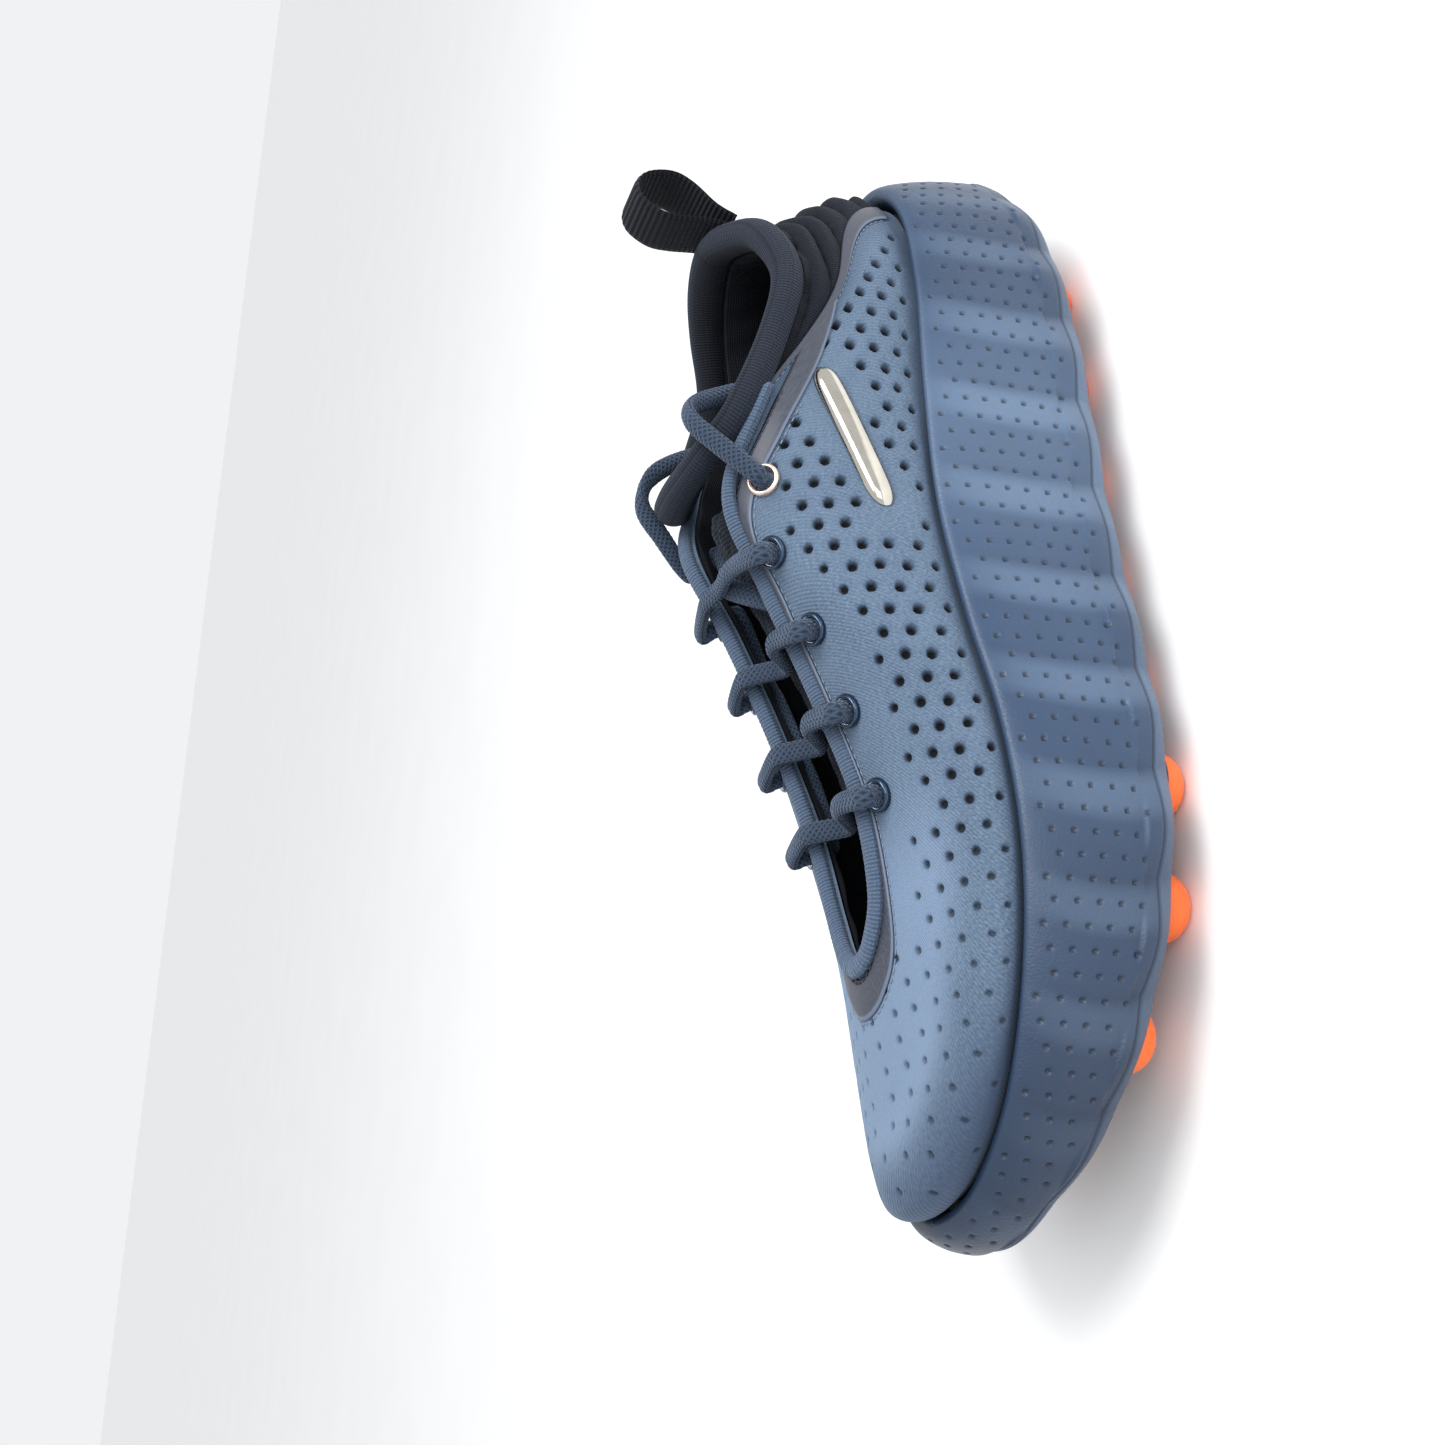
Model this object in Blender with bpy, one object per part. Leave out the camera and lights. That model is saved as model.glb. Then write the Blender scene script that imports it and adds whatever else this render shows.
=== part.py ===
"""A left golf shoe: a lace-up with a deep rippled midsole and 22 sprung foam pods under the foot.

All sizes are in millimetres until mesh_object() turns them to metres.
+X is the lateral (outer) side, -Y is the toe and +Z is up. Z = 0 is the ground under the pods.
"""

import math

import bmesh
import bpy
import numpy as np
from mathutils import Vector

MM = 0.001
GAP = 0.35                 # clearance between touching pieces
SIDE = 24                  # stations round the perimeter
AROUND = 60                # points round the midsole
CENTRING = (-0.6, -2.0)    # moves the whole shoe so that its box is centred

# Stations round the sole, from the heel's back by the lateral side to the toe (12) and back.
# Columns: x, y, height of the bottom edge, height of the rim.
SOLE = np.array([
    (0, 151, 22, 60), (22, 145, 20, 60), (37, 125, 15, 59), (43, 95, 11, 59),
    (45, 60, 9.5, 60), (47, 25, 9, 60), (51, -8, 8, 57), (54, -38, 8, 52),
    (53, -68, 9, 49), (46, -98, 13, 48), (32, -126, 20, 48), (12, -145, 28, 49),
    (-10, -151, 31, 50), (-30, -144, 28, 48), (-45, -124, 20, 46), (-52, -96, 13, 45),
    (-53, -66, 9, 46), (-49, -34, 8, 52), (-42, 0, 8, 59), (-39, 30, 9, 61),
    (-40, 62, 9.5, 59), (-40, 95, 11, 57), (-35, 124, 15, 58), (-21, 145, 20, 60),
], float)

# The inner edge of the upper at the same stations: collar, eyestays, end of the throat (12).
# Columns: x, y, z, then four numbers that shape the rib from rim to edge:
# rise and flare of its lower handle, reach and drop of its upper handle.
EDGE = np.array([
    (0, 122, 98.5, .45, 1.5, .10, .35), (12, 118, 97, .45, 1.5, .10, .35),
    (25, 109, 93.5, .45, 2.0, .08, .35), (32, 92, 90, .45, 2.5, .06, .35),
    (31, 73, 94, .50, 3.5, .10, .30), (25, 52, 101.5, .56, 3.5, .22, .14),
    (15, 31, 106, .46, 3.5, .42, .19), (12, 8, 95.5, .38, 3.5, .50, .28),
    (12, -18, 84, .39, 3.5, .50, .31), (13, -45, 74, .43, 3.5, .50, .33),
    (11, -68, 69.5, .52, 4.0, .45, .28), (6, -80, 69, .66, 4.5, .40, .24),
    (-1, -84, 69, .74, 5.0, .40, .22), (-7, -80, 69, .66, 4.5, .40, .24),
    (-12, -68, 69.5, .52, 4.0, .45, .28), (-14, -45, 74, .43, 3.5, .50, .33),
    (-14, -18, 84, .40, 3.5, .50, .30), (-14, 8, 95.5, .39, 3.5, .50, .28),
    (-16, 31, 106, .47, 3.5, .42, .19), (-25, 52, 101.5, .56, 3.5, .22, .14),
    (-31, 73, 94, .50, 3.5, .10, .30), (-30, 92, 90, .45, 2.5, .06, .35),
    (-23, 109, 93.5, .45, 2.0, .08, .35), (-12, 118, 97, .45, 1.5, .10, .35),
], float)

# The side wall of the midsole: (share of the height from bottom edge to rim, inset from the outline).
WALL = [(0, 9.0), (.015, 5.6), (.07, 2.6), (.17, .6), (.34, 0), (.55, .3), (.74, 1.6), (.88, 3.4),
        (.965, 5.0)]
RIM_TOP = 6.6              # inset of the rim's crest
LIP = [(9.2, -3.0), (9.6, -7.0)]   # inset and height from the rim, down the inside of the cup
CUP_INSET = 11.5           # inset of the cup's floor
RIPPLE_DEPTH = 1.1
RIPPLE_PITCH = 27.0
HEEL_KICK = 5.0            # how far the heel's bottom reaches back
# The cup's floor: y and height.
FLOOR = [(-160, 40), (-135, 34.5), (-110, 29.5), (-85, 26), (-55, 24.5), (-10, 26), (50, 29),
         (110, 30.5), (160, 33)]

COVER, BOARD, INSOLE = 1.0, 1.2, 4.0
FOOTBED = COVER + BOARD + INSOLE + 3 * GAP
HEEL_FLAT = (84, 118)

TUCK_INSET = 10.4          # where the upper stands inside the rim
TUCK_DEPTH = 3.0
FABRIC = 2.0               # thickness of the outer fabric
STIFFENER = 1.3
STIFFENER_GAP = 0.9
LINING = 1.4
TAPE = 0.8
TAPE_WIDTH = 0.068         # share of a rib
TAPE_STATIONS = 0.50       # width of the slanting tape
TAPE_GAP = 0.5

# The fabric's rear edge runs slantwise: stations (lateral) at the rim and at the collar.
SLANT_FOOT = 1.35
SLANT_TOP = 4.65
SLANT_BEND = 2.0
LOBES = 5                  # padded rolls on the heel
LOBE_DEPTH = 2.6

POD_R = 9.0
POD_HOLE_R = 9.6
POD_FLANGE_R = 10.2
POD_BORE_R = 10.8
POD_FLANGE = 3.0
POD_TRAVEL = 3.0
POD_STAND = 8.0            # how far a pod stands below the turned-up toe
POD_GROUND = (-95, 125)    # pods between these reach the ground
POD_FACE_R = 3.2           # flat tread on a pod's tip
POD_SIDES = 12
POD_SLANT = 0.10           # rows run slightly askew
POD_ROWS = [
    (111, (-25, -4, 17)), (79, (-26, -3, 20)), (46, (-26, 20)), (14, (-26, 22)),
    (-19, (-31, -3, 27)), (-50, (-37, -12, 13, 38)), (-79, (-37, -1, 34)), (-107, (-26, 23)),
]

EYELETS_Y = (32, 13, -7, -28, -49)
EYELET_HOLE_R = 2.9
EYELET_BORE_R = 3.9
EYELET_RIB = 0.80          # where along its rib an eyelet sits
EYELET_SIDES = 10
LACE_R = 2.0
# Heights of a lace above the throat's edge as it crosses: x from the edge to the middle, and height.
BAR_SLACK = [(13, 4.6), (9, 4.0), (5, 0.4), (0, -3.4)]
BAR_TIGHT = [(13, 5.6), (7, 6.4), (0, 5.6)]
LACE_SHIFT = 0.10          # share of a rib between two runs side by side
LACE_DEPTH = 5.4           # of a run of lace beneath the fabric
COLLAR_R = 3.8
PULL_ROOT = (128.9, 99.6)  # y and z of the heel loop's stitched root
PULL_LEAN = 12             # degrees that the loop leans back
PULL_THICK = 1.6
PULL_HALF = 8.0            # half of its width
# The loop's outer side, back and up from its root and down again.
PULL_PROFILE = [(1.0, -.6), (2.4, 6), (6.6, 14), (7.6, 20), (4.5, 26), (0, 28),
                (-4.0, 26), (-6.2, 20), (-5.0, 14), (-2.0, 6), (-1.0, -.6)]

# A free end of lace: over the collar and down (lateral side), then lying on the insole.
LACE_END_ROUTE = [(26, 39, 112), (23, 47, 118.5), (18.5, 55, 116), (17, 63, 103), (18.5, 71, 82),
                  (20, 79, 60)]
LACE_END_LYING = [(21, 80), (22, 64), (22, 40), (20, 14), (16, -6), (9.5, -10), (6, 2), (6.5, 20),
                  (8, 44), (8, 66)]
MEDIAL_DRAW = 0.86         # the medial end runs nearer the middle
LACE_END_LENGTHS = {"lateral": 250.0, "medial": 236.0}
LACE_END_STEP = 9.0
AGLET = 20.0
AGLET_R = 1.5

STIFFENER_FROM, STIFFENER_TO = 9.6, 14.4   # stations of the toe stiffener
COUNTER_REACH = 3.4        # stations of the heel counter on each side of the heel
TONGUE_END = -92           # the tongue runs from here, sewn down
TONGUE_TOP = 34            # to here, under the collar
TONGUE_SEWN = -78          # it lies lower up to here
TONGUE_THICK = 3.0
# The collar's roll where it crosses the tongue.
COLLAR_FRONT = [(14, 43, 112), (0, 41, 114), (-14, 43, 112)]
BADGE_ENDS = [(64, 86), (22, 72)]          # y and z of the badge's ends
BADGE_HALF = 3.6           # half of its width
BADGE_BULGE = 1.6
RUBBER_THICK = 1.95
RUBBER_FROM, RUBBER_LONG = -119, 21        # y of the toe rubber's rear edge, and its length
RUBBER_EDGE = 15           # from the outline to the toe rubber's sides

COLOURS = {
    "midsole": ((.105, .165, .300), .45, 0), "pods": ((1.0, .22, .04), .40, 0),
    "rubber": ((.02, .02, .022), .70, 0), "fabric": ((.17, .26, .40), .75, 0),
    "knit": ((.025, .033, .058), .85, 0), "tape": ((.06, .065, .085), .55, 0),
    "board": ((.55, .53, .50), .90, 0), "foam": ((.03, .035, .05), .90, 0),
    "plastic": ((.05, .05, .055), .50, 0), "enamel": ((.05, .08, .14), .30, 1),
    "rose_metal": ((.85, .70, .60), .15, 1), "gunmetal": ((.60, .57, .52), .15, 1),
    "lace": ((.045, .070, .120), .85, 0), "clear_tip": ((.05, .07, .11), .25, 0),
}


# ---------------------------------------------------------------- shapes

def loop_at(table, t):
    """A smooth closed curve through the table's rows, at station t."""
    n = len(table)
    i = math.floor(t)
    f = t - i
    a, b, c, d = (table[(i + k) % n] for k in (-1, 0, 1, 2))
    return b + .5 * f * (c - a + f * (2 * a - 5 * b + 4 * c - d + f * (3 * (b - c) + d - a)))


def curve_at(points, t):
    """A smooth open curve through the points, t from 0 to 1."""
    p = np.asarray(points, float)
    p = np.vstack([2 * p[0] - p[1], p, 2 * p[-1] - p[-2]])
    s = min(max(t, 0), 1) * (len(p) - 3)
    i = min(int(s), len(p) - 4)
    f = s - i
    a, b, c, d = p[i:i + 4]
    return b + .5 * f * (c - a + f * (2 * a - 5 * b + 4 * c - d + f * (3 * (b - c) + d - a)))


def table_at(table, y):
    """Piecewise smooth height over y."""
    ys, zs = zip(*table)
    i = min(max(np.searchsorted(ys, y) - 1, 0), len(ys) - 2)
    f = (y - ys[i]) / (ys[i + 1] - ys[i])
    f = f * f * (3 - 2 * f) * .5 + f * .5
    return zs[i] + (zs[i + 1] - zs[i]) * f


def outward(t):
    """Unit normal of the sole's outline in plan."""
    a, b = loop_at(SOLE, t - .05), loop_at(SOLE, t + .05)
    n = np.array([-(b - a)[1], (b - a)[0]])
    return n / np.linalg.norm(n)


def perimeter(t, inset=0.0):
    """Point of the outline in plan, moved inwards."""
    return loop_at(SOLE, t)[:2] - outward(t) * inset


ARC_STEPS = 8              # per station
ARC = np.cumsum([0] + [np.linalg.norm(perimeter(k / ARC_STEPS) - perimeter((k + 1) / ARC_STEPS))
                       for k in range(SIDE * ARC_STEPS)])


def ripple(t, h):
    """Waves along the side wall, fading towards the bottom edge and the rim."""
    along = np.interp(t % SIDE * ARC_STEPS, range(len(ARC)), ARC)
    waves = round(ARC[-1] / RIPPLE_PITCH)
    fade = math.sin(math.pi * min(max(h, 0), 1)) ** .6
    return RIPPLE_DEPTH * fade * math.cos(2 * math.pi * waves * along / ARC[-1])


def heel_kick(t, h):
    """The heel's wall leans back towards its bottom edge."""
    return HEEL_KICK * max(0.0, math.cos(math.pi * t / 12)) ** 8 * (1 - h)


def rib(t, v):
    """The upper's outer surface: from inside the rim (v 0) to the collar or throat edge (v 1)."""
    zr = loop_at(SOLE, t)[3]
    foot = perimeter(t, TUCK_INSET)
    x, y, z, rise, flare, reach, drop = loop_at(EDGE, t)
    p0 = np.array([*foot, zr - TUCK_DEPTH])
    high = z - p0[2]
    p1 = np.array([*(foot + outward(t) * flare), p0[2] + rise * high])
    p3 = np.array([x, y, z])
    p2 = p3 + np.array([(foot[0] - x) * reach, (foot[1] - y) * reach, -drop * high])
    w = 1 - v
    return w ** 3 * p0 + 3 * w * w * v * p1 + 3 * w * v * v * p2 + v ** 3 * p3


def normal_at(t, v):
    a = rib(t + .04, v) - rib(t - .04, v)
    b = rib(t, min(v + .01, 1)) - rib(t, max(v - .01, 0))
    n = np.cross(b, a)
    n = n / np.linalg.norm(n)
    return n if n @ (rib(t, v) - np.array([0, rib(t, v)[1] * .8, 40])) > 0 else -n


def skin(t, v, lift=0.0):
    """The upper's surface moved along its normal."""
    return rib(t, v) + normal_at(t, v) * lift


def slant(v):
    """Station of the fabric's slanting rear edge."""
    return SLANT_FOOT + (SLANT_TOP - SLANT_FOOT) * v ** SLANT_BEND


def station_for(y, v, lateral=True):
    """Station whose rib passes the given y at v."""
    lo, hi = (1.5, 11.5)
    for _ in range(40):
        mid = (lo + hi) / 2
        at = rib(mid if lateral else SIDE - mid, v)[1]
        lo, hi = (mid, hi) if at > y else (lo, mid)
    return lo if lateral else SIDE - lo


# ---------------------------------------------------------------- mesh helpers

def material(name):
    mat = bpy.data.materials.get(name)
    if mat is None:
        colour, rough, metal = COLOURS[name]
        mat = bpy.data.materials.new(name)
        mat.use_nodes = True
        shader = mat.node_tree.nodes["Principled BSDF"]
        shader.inputs["Base Color"].default_value = (*colour, 1)
        shader.inputs["Roughness"].default_value = rough
        shader.inputs["Metallic"].default_value = metal
    return mat


def mesh_object(name, verts, faces, mat, parent):
    """A closed, smooth-shaded object from millimetre points."""
    mesh = bpy.data.meshes.new(name)
    mesh.from_pydata([tuple(float(c) * MM for c in v) for v in verts], [], faces)
    bm = bmesh.new()
    bm.from_mesh(mesh)
    bmesh.ops.remove_doubles(bm, verts=bm.verts, dist=1e-6)
    bmesh.ops.recalc_face_normals(bm, faces=bm.faces)
    bm.to_mesh(mesh)
    bm.free()
    mesh.shade_smooth()
    mesh.set_sharp_from_angle(angle=math.radians(40))
    mesh.materials.append(material(mat))
    obj = bpy.data.objects.new(name, mesh)
    bpy.context.scene.collection.objects.link(obj)
    obj.parent = parent
    return obj


def bridge(a, b, closed=True):
    """Quads between two rows of vertex numbers."""
    n = len(a) if closed else len(a) - 1
    return [(a[k], a[(k + 1) % len(a)], b[(k + 1) % len(b)], b[k]) for k in range(n)]


def ladder(ring):
    """Fills a closed ring whose first point is the heel and whose middle point is the toe."""
    n = len(ring)
    ends = [(ring[0], ring[1], ring[-1]), (ring[n // 2 - 1], ring[n // 2], ring[n // 2 + 1])]
    rungs = range(1, n // 2 - 1)
    return ends + [(ring[k], ring[k + 1], ring[n - k - 1], ring[n - k]) for k in rungs]


def rings_solid(name, rings, mat, parent):
    """A solid from closed rings of equal length, filled at the first and last ring."""
    count = len(rings[0])
    verts = [p for ring in rings for p in ring]
    ids = [list(range(k * count, (k + 1) * count)) for k in range(len(rings))]
    faces = [f for a, b in zip(ids, ids[1:]) for f in bridge(a, b)]
    return mesh_object(name, verts, faces + ladder(ids[0]) + ladder(ids[-1]), mat, parent)


def sheet_solid(outer, inner):
    """(points, faces) of a closed sheet between two equal grids."""
    rows, cols = len(outer), len(outer[0])
    verts = [p for row in outer for p in row] + [p for row in inner for p in row]
    base = rows * cols

    def at(i, j, side):
        return side * base + i * cols + j

    faces = []
    for i in range(rows - 1):
        for j in range(cols - 1):
            faces.append((at(i, j, 0), at(i, j + 1, 0), at(i + 1, j + 1, 0), at(i + 1, j, 0)))
            faces.append((at(i, j, 1), at(i + 1, j, 1), at(i + 1, j + 1, 1), at(i, j + 1, 1)))
    border = [(0, j) for j in range(cols - 1)] + [(i, cols - 1) for i in range(rows - 1)]
    border += [(rows - 1, j) for j in range(cols - 1, 0, -1)]
    border += [(i, 0) for i in range(rows - 1, 0, -1)]
    for k, (i, j) in enumerate(border):
        a, b = border[(k + 1) % len(border)]
        faces.append((at(i, j, 0), at(i, j, 1), at(a, b, 1), at(a, b, 0)))
    return verts, faces


def join(parts):
    """Several (points, faces) as one."""
    verts, faces = [], []
    for v, f in parts:
        faces += [tuple(k + len(verts) for k in face) for face in f]
        verts += list(v)
    return verts, faces


def spin(profile, sides, centre, axis=(0, 0, 1)):
    """(points, faces) of a turned solid.

    The profile's (radius, height) pairs are closed if they never meet the axis.
    """
    axis = Vector(axis).normalized()
    side = axis.orthogonal().normalized()
    other = axis.cross(side)
    verts, ids = [], []
    for r, h in profile:
        row = []
        for k in range(sides if r > 0 else 1):
            a = 2 * math.pi * k / sides
            p = Vector(centre) + axis * h + (side * math.cos(a) + other * math.sin(a)) * r
            row.append(len(verts))
            verts.append(tuple(p))
        ids.append(row if r > 0 else row * sides)
    pairs = list(zip(ids, ids[1:]))
    if profile[0][0] > 0 and profile[-1][0] > 0:
        pairs.append((ids[-1], ids[0]))
    faces = []
    for a, b in pairs:
        for quad in bridge(a, b):
            face = tuple(dict.fromkeys(quad))
            if len(face) > 2:
                faces.append(face)
    return verts, faces


def tube(path, radius, sides):
    """(points, faces) of a capped tube along a list of points."""
    pts = [Vector(p) for p in path]
    verts, rows = [], []
    side = None
    for i, p in enumerate(pts):
        ahead = (pts[min(i + 1, len(pts) - 1)] - pts[max(i - 1, 0)]).normalized()
        if side is None:
            side = ahead.cross(Vector((0, 0, 1))).normalized()
        side = (side - ahead * side.dot(ahead)).normalized()
        other = ahead.cross(side)
        row = []
        for k in range(sides):
            a = 2 * math.pi * k / sides
            row.append(len(verts))
            verts.append(tuple(p + (side * math.cos(a) + other * math.sin(a)) * radius))
        rows.append(row)
    faces = [f for a, b in zip(rows, rows[1:]) for f in bridge(a, b)]
    return verts, faces + [tuple(rows[0]), tuple(reversed(rows[-1]))]


def cut(target, cutter):
    """Takes cutter away from target, for good."""
    bool_mod = target.modifiers.new("cut", "BOOLEAN")
    bool_mod.operation = "DIFFERENCE"
    bool_mod.object = cutter
    graph = bpy.context.evaluated_depsgraph_get()
    mesh = bpy.data.meshes.new_from_object(target.evaluated_get(graph))
    target.modifiers.clear()
    target.data = mesh
    bpy.data.objects.remove(cutter)


# ---------------------------------------------------------------- pieces

def floor_at(y):
    return table_at(FLOOR, y)


def ring_at(inset, height, count=AROUND):
    """A ring of the outline. height takes (station, x, y)."""
    ring = []
    for k in range(count):
        t = k * SIDE / count
        x, y = perimeter(t, inset)
        ring.append((x, y, height(t, x, y)))
    return ring


def pods_layout():
    """(name, x, y, height of its tip) for each pod."""
    found = []
    for row, (y0, xs) in enumerate(POD_ROWS, 1):
        for n, x in enumerate(xs, 1):
            y = y0 + POD_SLANT * x
            tip = 0.0 if POD_GROUND[0] < y < POD_GROUND[1] else bottom_at(y) - POD_STAND
            found.append((f"pod_r{row}_{n}", x, y, tip))
    return found


def pod_seat(y):
    """Height of the step in a pod's bore: the flange on it can travel under the cover sheet."""
    lowest = min(floor_at(y - POD_BORE_R), floor_at(y + POD_BORE_R), floor_at(y))
    return lowest - POD_FLANGE - POD_TRAVEL - 2 * GAP


def bottom_at(y):
    """Height of the sole's bottom over y, from the lateral edge's stations."""
    side = SOLE[1:13]
    return float(np.interp(-y, -side[:, 1], side[:, 2]))


def make_midsole(root):
    rings = []
    for h, inset in WALL:
        ring = []
        for k in range(AROUND):
            t = k * SIDE / AROUND
            _, _, zb, zr = loop_at(SOLE, t)
            x, y = perimeter(t, inset - ripple(t, h) - heel_kick(t, h))
            ring.append((x, y, zb + h * (zr - zb)))
        rings.append(ring)
    rings.append(ring_at(RIM_TOP, lambda t, x, y: loop_at(SOLE, t)[3]))
    for inset, drop in LIP:
        rings.append(ring_at(inset, lambda t, x, y, drop=drop: loop_at(SOLE, t)[3] + drop))
    rings.append(ring_at(CUP_INSET, lambda t, x, y: floor_at(y)))
    sole = rings_solid("midsole", rings, "midsole", root)
    parts = []
    for _, x, y, tip in pods_layout():
        top = floor_at(y)
        seat = pod_seat(y)
        bore = [(0, tip - 1), (POD_HOLE_R, tip - 1), (POD_HOLE_R, seat), (POD_BORE_R, seat),
                (POD_BORE_R, top + 3), (0, top + 3)]
        parts.append(spin(bore, POD_SIDES, (x, y, 0)))
    cutter = mesh_object("pod_bores", *join(parts), "midsole", root)
    cut(sole, cutter)
    return sole


def make_pods(root):
    for name, x, y, tip in pods_layout():
        seat = pod_seat(y) + GAP
        profile = [(0, tip), (POD_FACE_R, tip)]
        for a in (35, 65, 90):
            turn = math.radians(a)
            profile.append((POD_FACE_R + (POD_R - POD_FACE_R) * math.sin(turn),
                            tip + 7.0 * (1 - math.cos(turn))))
        profile += [(POD_R, seat), (POD_FLANGE_R, seat), (POD_FLANGE_R, seat + POD_FLANGE),
                    (0, seat + POD_FLANGE)]
        moved = [(r, h - tip) for r, h in profile]
        pod = mesh_object(name, *spin(moved, POD_SIDES, (0, 0, 0)), "pods", root)
        pod.location = (x * MM, y * MM, tip * MM)


def plate(name, low, high, mat, root):
    """A flat piece inside the cup, between two heights over y."""
    rings = [ring_at(CUP_INSET + 1, lambda t, x, y, at=at: at(y), 48) for at in (low, high)]
    return rings_solid(name, rings, mat, root)


def insole_top(y):
    """The insole's top, level at the heel."""
    return floor_at(HEEL_FLAT[0] if HEEL_FLAT[0] < y < HEEL_FLAT[1] else y) + FOOTBED


def make_footbed(root):
    low = GAP
    for name, thick, mat in (("pod_cover_sheet", COVER, "foam"), ("strobel_board", BOARD, "board")):
        plate(name, lambda y: floor_at(y) + low, lambda y: floor_at(y) + low + thick, mat, root)
        low += thick + GAP
    plate("insole", lambda y: floor_at(y) + low, insole_top, "foam", root)


def make_toe_rubber(root):
    rows, cols = 4, 6
    outer, inner = [], []
    for i in range(rows):
        y = RUBBER_FROM - RUBBER_LONG * i / (rows - 1)
        t = station_on_outline(y)
        lat, med = perimeter(t)[0] - RUBBER_EDGE, perimeter(SIDE - t)[0] + RUBBER_EDGE
        z = bottom_at(y)
        xs = [med + (lat - med) * j / (cols - 1) for j in range(cols)]
        outer.append([(x, y, z - GAP - RUBBER_THICK) for x in xs])
        inner.append([(x, y, z - GAP) for x in xs])
    mesh_object("toe_rubber", *sheet_solid(outer, inner), "rubber", root)


def station_on_outline(y):
    """The lateral station of the outline at y."""
    lo, hi = 0.0, SIDE / 2
    for _ in range(40):
        mid = (lo + hi) / 2
        lo, hi = (mid, hi) if perimeter(mid)[1] > y else (lo, mid)
    return lo


def upper_grid(lift, rows=8, cols=39, v0=0.0, v1=1.0, t0=slant, t1=None):
    """Grid of the upper between two slanting edges."""
    t1 = t1 or (lambda v: SIDE - slant(v))
    grid = []
    for i in range(rows):
        v = v0 + (v1 - v0) * i / (rows - 1)
        a, b = t0(v), t1(v)
        grid.append([tuple(skin(a + (b - a) * j / (cols - 1), v, lift)) for j in range(cols)])
    return grid


def make_upper(root):
    outer, inner = upper_grid(0), upper_grid(-FABRIC)
    shell = mesh_object("upper_shell", *sheet_solid(outer, inner), "fabric", root)
    bore = [(0, -5), (EYELET_BORE_R, -5), (EYELET_BORE_R, 4), (0, 4)]
    parts = [spin(bore, EYELET_SIDES, p, n) for _, p, n in eyelet_places()]
    cut(shell, mesh_object("eyelet_bores", *join(parts), "fabric", root))


def eyelet_places():
    """(station, point on the fabric, normal), lateral ones first, top to toe."""
    found = []
    for lateral in (True, False):
        for y in EYELETS_Y:
            t = station_for(y, EYELET_RIB, lateral)
            found.append((t, skin(t, EYELET_RIB), normal_at(t, EYELET_RIB)))
    return found


def make_linings(root):
    deep = -FABRIC - STIFFENER_GAP
    shapes = [("toe_stiffener", 13, 0.42, lambda v: STIFFENER_FROM, lambda v: STIFFENER_TO),
              ("heel_counter", 17, 0.62, lambda v: SIDE - COUNTER_REACH + .5 * v,
               lambda v: SIDE + COUNTER_REACH - .5 * v)]
    for name, cols, top, first, last in shapes:
        sides = [upper_grid(at, 4, cols, 0.04, top, first, last) for at in (deep, deep - STIFFENER)]
        mesh_object(name, *sheet_solid(*sides), "plastic", root)
    deeper = deep - STIFFENER - 1.6 * GAP
    rows, cols = 5, 36
    grids = []
    for lift in (deeper, deeper - LINING):
        grid = []
        for i in range(rows):
            share = i / (rows - 1)
            grid.append([tuple(skin(t, 0.02 + lining_top(t) * share, lift))
                         for t in (j * SIDE / cols for j in range(cols))])
        grids.append(grid)
    verts, ids = [], []
    for grid in (grids[0], grids[1][::-1]):
        for row in grid:
            ids.append(list(range(len(verts), len(verts) + cols)))
            verts += row
    faces = [f for a, b in zip(ids, ids[1:] + ids[:1]) for f in bridge(a, b)]
    mesh_object("lining", verts, faces, "knit", root)


def lining_top(t):
    """How far up its rib the lining reaches: high at the heel, below the laces at the throat."""
    return float(np.interp(abs(t - SIDE / 2), (5.5, 8), (.46, .70)))


def lobes(v, edge):
    """Height of the heel's padded rolls at v; edge is 0 at the slanting seam and 1 away from it."""
    wave = abs(math.sin(math.pi * LOBES * min(v * 1.06, 1)))
    return LOBE_DEPTH * wave ** .7 * min(edge * 3, 1) ** .5


def make_heel(root):
    rows, cols = 16, 17
    outer, inner = [], []
    for i in range(rows):
        v = 0.03 + 0.97 * i / (rows - 1)
        a = -slant(v) + .12
        row_out, row_in = [], []
        for j in range(cols):
            share = j / (cols - 1)
            t = a - 2 * a * share
            edge = 1 - abs(2 * share - 1)
            row_out.append(tuple(skin(t, v, lobes(v, edge) if v > .12 else 0)))
            row_in.append(tuple(skin(t, v, -FABRIC)))
        outer.append(row_out)
        inner.append(row_in)
    mesh_object("heel_bellows", *sheet_solid(outer, inner), "knit", root)


def collar_path(count=40):
    """Closed route of the collar roll: round the ankle and over the top of the tongue."""
    rear = [skin(t, 1.0) + np.array([0, 0, COLLAR_R + .5]) for t in (0, 1, 2, 3, 4, 5)]
    front = [np.array(p, float) for p in COLLAR_FRONT]
    back = [skin(SIDE - t, 1.0) + np.array([0, 0, COLLAR_R + .5]) for t in (5, 4, 3, 2, 1)]
    ring = np.array(rear + front + back)
    return [loop_at(ring, k * len(ring) / count) for k in range(count)]


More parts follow.
